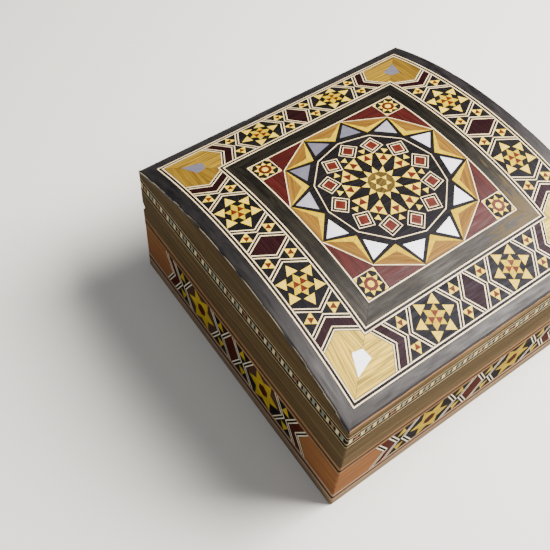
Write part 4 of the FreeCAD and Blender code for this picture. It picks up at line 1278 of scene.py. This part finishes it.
def lay_velvet(name, width, length, place, body, node):
    """Sheet of velvet glued to a board, with edges that roll under and a faintly uneven pile.

    length is a rule of the distance along the width, and place gives the point at a height over the board.
    """
    thick, thin_edge, swing = size("pile"), 0.4, 0.04
    across = cloth_stops(width)
    longest = max(length(a) for a in across)
    up = cloth_stops(longest)
    columns = len(up)
    points, lay = [], []
    for raised in (True, False):
        for a in across:
            share = length(a) / longest
            for b in up:
                edge = min(a, width - a, b * share, (longest - b) * share)
                rise = math.sqrt(1 - (1 - min(1.0, edge / VELVET_ROLL)) ** 2)
                roll = thin_edge + (1 - thin_edge) * rise
                uneven = swing * (2 + math.sin(a / 6.1 + b / 17.0) + math.sin(b / 7.3 - a / 29.0))
                points.append(place(a, b * share, roll * (thick - uneven) if raised else 0.0))
                lay.append((a, b, 0.0))
    caps = [[k, k + columns, k + columns + 1, k + 1] for row in range(len(across) - 1)
            for k in range(row * columns, (row + 1) * columns - 1)]
    cloth = Tray(81)
    cloth.shell(points, closed_faces(caps, len(across) * columns), lay)
    sheet = cloth.finish(name, "velvet", body, "velvet", node)
    for face in sheet.data.polygons:
        face.use_smooth = True
    area = sum((b - a) * (length(a) + length(b)) / 2 for a, b in zip(across, across[1:]))


class KEEPSAKE_OT_linings(bpy.types.Operator):
    """Line the body and the lid with velvet"""
    bl_idname = "keepsake.linings"
    bl_label = "Velvet Linings"

    def execute(self, context):
        pile = size("pile")
        half = (node_reach("floor_lining"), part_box("floor_lining")[1].y / MM)
        low, floor_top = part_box("floor_lining")[0].z / MM, node_top("floor_lining")
        ceiling = ARCH_RADIUS - VENEER - LID_BOARD
        half_turn = math.asin(half[1] / ceiling)

        def under_ceiling(y):
            return ARCH_AXIS + math.sqrt((ceiling - pile) ** 2 - y * y) - PARTING

        def on_floor(a, b, height):
            return Vector((a - half[0], b - half[1], low + height)) * MM

        def on_ceiling(a, b, height):
            turn = b / ceiling - half_turn
            radius = ceiling - height
            return Vector((half[0] - a, radius * math.sin(turn), ARCH_AXIS + radius * math.cos(turn))) * MM

        lay_velvet("velvet_floor", 2 * half[0], lambda a: 2 * half[1], on_floor, "body",
                   "floor_lining")
        lay_velvet("velvet_lid_ceiling", 2 * half[0], lambda a: 2 * half_turn * ceiling, on_ceiling, "lid",
                   "lid_lining")
        for number, side in enumerate(SIDES):
            long_side = number % 2 == 0
            run = half[0] if long_side else half[1] - pile
            reach = half[1] if long_side else half[0]
            turn = Matrix.Rotation(math.radians(90 * number), 3, "Z")

            def on_wall(a, b, height, turn=turn, run=run, reach=reach, level=floor_top):
                return turn @ Vector((run - a, height - reach, level + b)) * MM

            def on_rail(a, b, height, lay=on_wall):
                return lay(a, b, height, level=PARTING)

            def rail_height(a, run=run, flat=half[1] if long_side else None):
                return under_ceiling(flat or run - a)

            lay_velvet(f"velvet_body_{side}", 2 * run, lambda a: PARTING - floor_top, on_wall, "body",
                       "wall_linings")
            lay_velvet(f"velvet_lid_{side}", 2 * run, rail_height, on_rail, "lid",
                       "lid_lining")
        return {"FINISHED"}


class KEEPSAKE_OT_hinges(bpy.types.Operator):
    """Finish the two butt hinges and drive their screws"""
    bl_idname = "keepsake.hinges"
    bl_label = "Hinges"

    def execute(self, context):
        coat("hinge_pins", "brass")
        for body, up in (("body", 1), ("lid", -1)):
            heads, slots = Tray(91), Tray(92)
            for side in ("left", "right"):
                leaf = f"hinge_{body}_leaf_{side}"
                coat(leaf, "brass")
                low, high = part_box(leaf)
                for offset in (-SCREW_SPREAD, SCREW_SPREAD):
                    middle = ((low.x + high.x) / 2 / MM + offset, low.y / MM + SCREW_IN)
                    self.screw(heads, slots, Plate(middle, LEAF_FACES[body], up))
            heads.finish(f"{body}_hinge_screws", "brass", body, "brass")
            slots.finish(f"{body}_hinge_screw_slots", "tarnish", body, "brass")
        return {"FINISHED"}

    def screw(self, heads, slots, plate):
        """Countersunk head, level with the leaf, with a slot across it, filled with a dark bar: tarnish, and
        painted shade in place of the slot's depth.
        """
        head_top, head_depth, slot_top, slot_depth, steps = 0.02, 0.4, 0.008, 0.3, 12
        start = math.degrees(math.asin(SCREW_SLOT / 2 / SCREW_RADIUS))
        arc = [polar(SCREW_RADIUS, start + (180 - 2 * start) * k / steps) for k in range(steps + 1)]
        for sign in ENDS:
            heads.chip(plate, [(a, sign * b) for a, b in arc], 0.0, head_top, 0.0, head_depth, True)
        half, reach = SCREW_SLOT / 2, SCREW_RADIUS * math.cos(math.radians(start))
        bar = [(-reach, -half), (reach, -half), (reach, half), (-reach, half)]
        slots.chip(plate, bar, 0.0, slot_top, 0.0, slot_depth, True)


class KEEPSAKE_OT_stage(bpy.types.Operator):
    """Set the pale floor, the soft lights and the camera"""
    bl_idname = "keepsake.stage"
    bl_label = "Stage"

    def execute(self, context):
        scene = context.scene
        mesh = bpy.data.meshes.new("floor")
        corners = [(-FLOOR_HALF, -FLOOR_HALF, 0), (FLOOR_HALF, -FLOOR_HALF, 0),
                   (FLOOR_HALF, FLOOR_HALF, 0), (-FLOOR_HALF, FLOOR_HALF, 0)]
        mesh.from_pydata(corners, [], [[0, 1, 2, 3]])
        mesh.materials.append(FINISHES["floor"])
        floor = bpy.data.objects.new("floor", mesh)
        scene.collection.objects.link(floor)
        for name, (place, width, power, tone) in LIGHTS.items():
            light = bpy.data.lights.new(name, "AREA")
            light.size, light.energy, light.color = width, power, tone
            lamp = bpy.data.objects.new(name, light)
            lamp.location = place
            lamp.rotation_euler = (LIT_POINT - Vector(place)).to_track_quat("-Z", "Y").to_euler()
            scene.collection.objects.link(lamp)
        world = bpy.data.worlds.new("soft room")
        world.use_nodes = True
        background = world.node_tree.nodes["Background"].inputs
        background["Color"].default_value = ROOM_COLOUR
        background["Strength"].default_value = ROOM_STRENGTH
        scene.world = world
        data = bpy.data.cameras.new("camera")
        data.sensor_width = SENSOR
        data.lens = FOCAL_LENGTH / IMAGE_SIZE * SENSOR
        data.shift_x = (IMAGE_SIZE / 2 - CENTRE_X) / IMAGE_SIZE
        data.shift_y = (CENTRE_Y - IMAGE_SIZE / 2) / IMAGE_SIZE
        camera = bpy.data.objects.new("camera", data)
        turn = Matrix(CAMERA_AXES).transposed().to_4x4()
        camera.matrix_world = Matrix.Translation(CAMERA_PLACE * MM) @ turn
        scene.collection.objects.link(camera)
        scene.camera = camera
        return {"FINISHED"}


OPERATORS = (KEEPSAKE_OT_carcass, KEEPSAKE_OT_linings, KEEPSAKE_OT_hinges, KEEPSAKE_OT_facings,
             KEEPSAKE_OT_wall_mosaics, KEEPSAKE_OT_rope, KEEPSAKE_OT_lid_edges, KEEPSAKE_OT_lid_lines,
             KEEPSAKE_OT_lid_border, KEEPSAKE_OT_lid_star, KEEPSAKE_OT_stage)


class KEEPSAKE_PT_panel(bpy.types.Panel):
    """Lists the box's pieces and their settings"""
    bl_idname = "KEEPSAKE_PT_panel"
    bl_label = "Keepsake Box"
    bl_space_type = "VIEW_3D"
    bl_region_type = "UI"
    bl_category = "Keepsake Box"

    def draw(self, context):
        layout = self.layout
        for group in (context.scene.keepsake_sizes, context.scene.keepsake_colours):
            for name in group.__annotations__:
                layout.prop(group, name)
        for operator in OPERATORS:
            layout.operator(operator.bl_idname)


CLASSES = (KeepsakeSizes, KeepsakeColours, *OPERATORS, KEEPSAKE_PT_panel)


def register():
    for item in CLASSES:
        bpy.utils.register_class(item)
    bpy.types.Scene.keepsake_sizes = bpy.props.PointerProperty(type=KeepsakeSizes)
    bpy.types.Scene.keepsake_colours = bpy.props.PointerProperty(type=KeepsakeColours)


def unregister():
    del bpy.types.Scene.keepsake_colours
    del bpy.types.Scene.keepsake_sizes
    for item in reversed(CLASSES):
        bpy.utils.unregister_class(item)


def main():
    register()
    make_finishes()
    for operator in OPERATORS:
        group, name = operator.bl_idname.split(".")
        getattr(getattr(bpy.ops, group), name)()


if __name__ == "__main__":
    main()
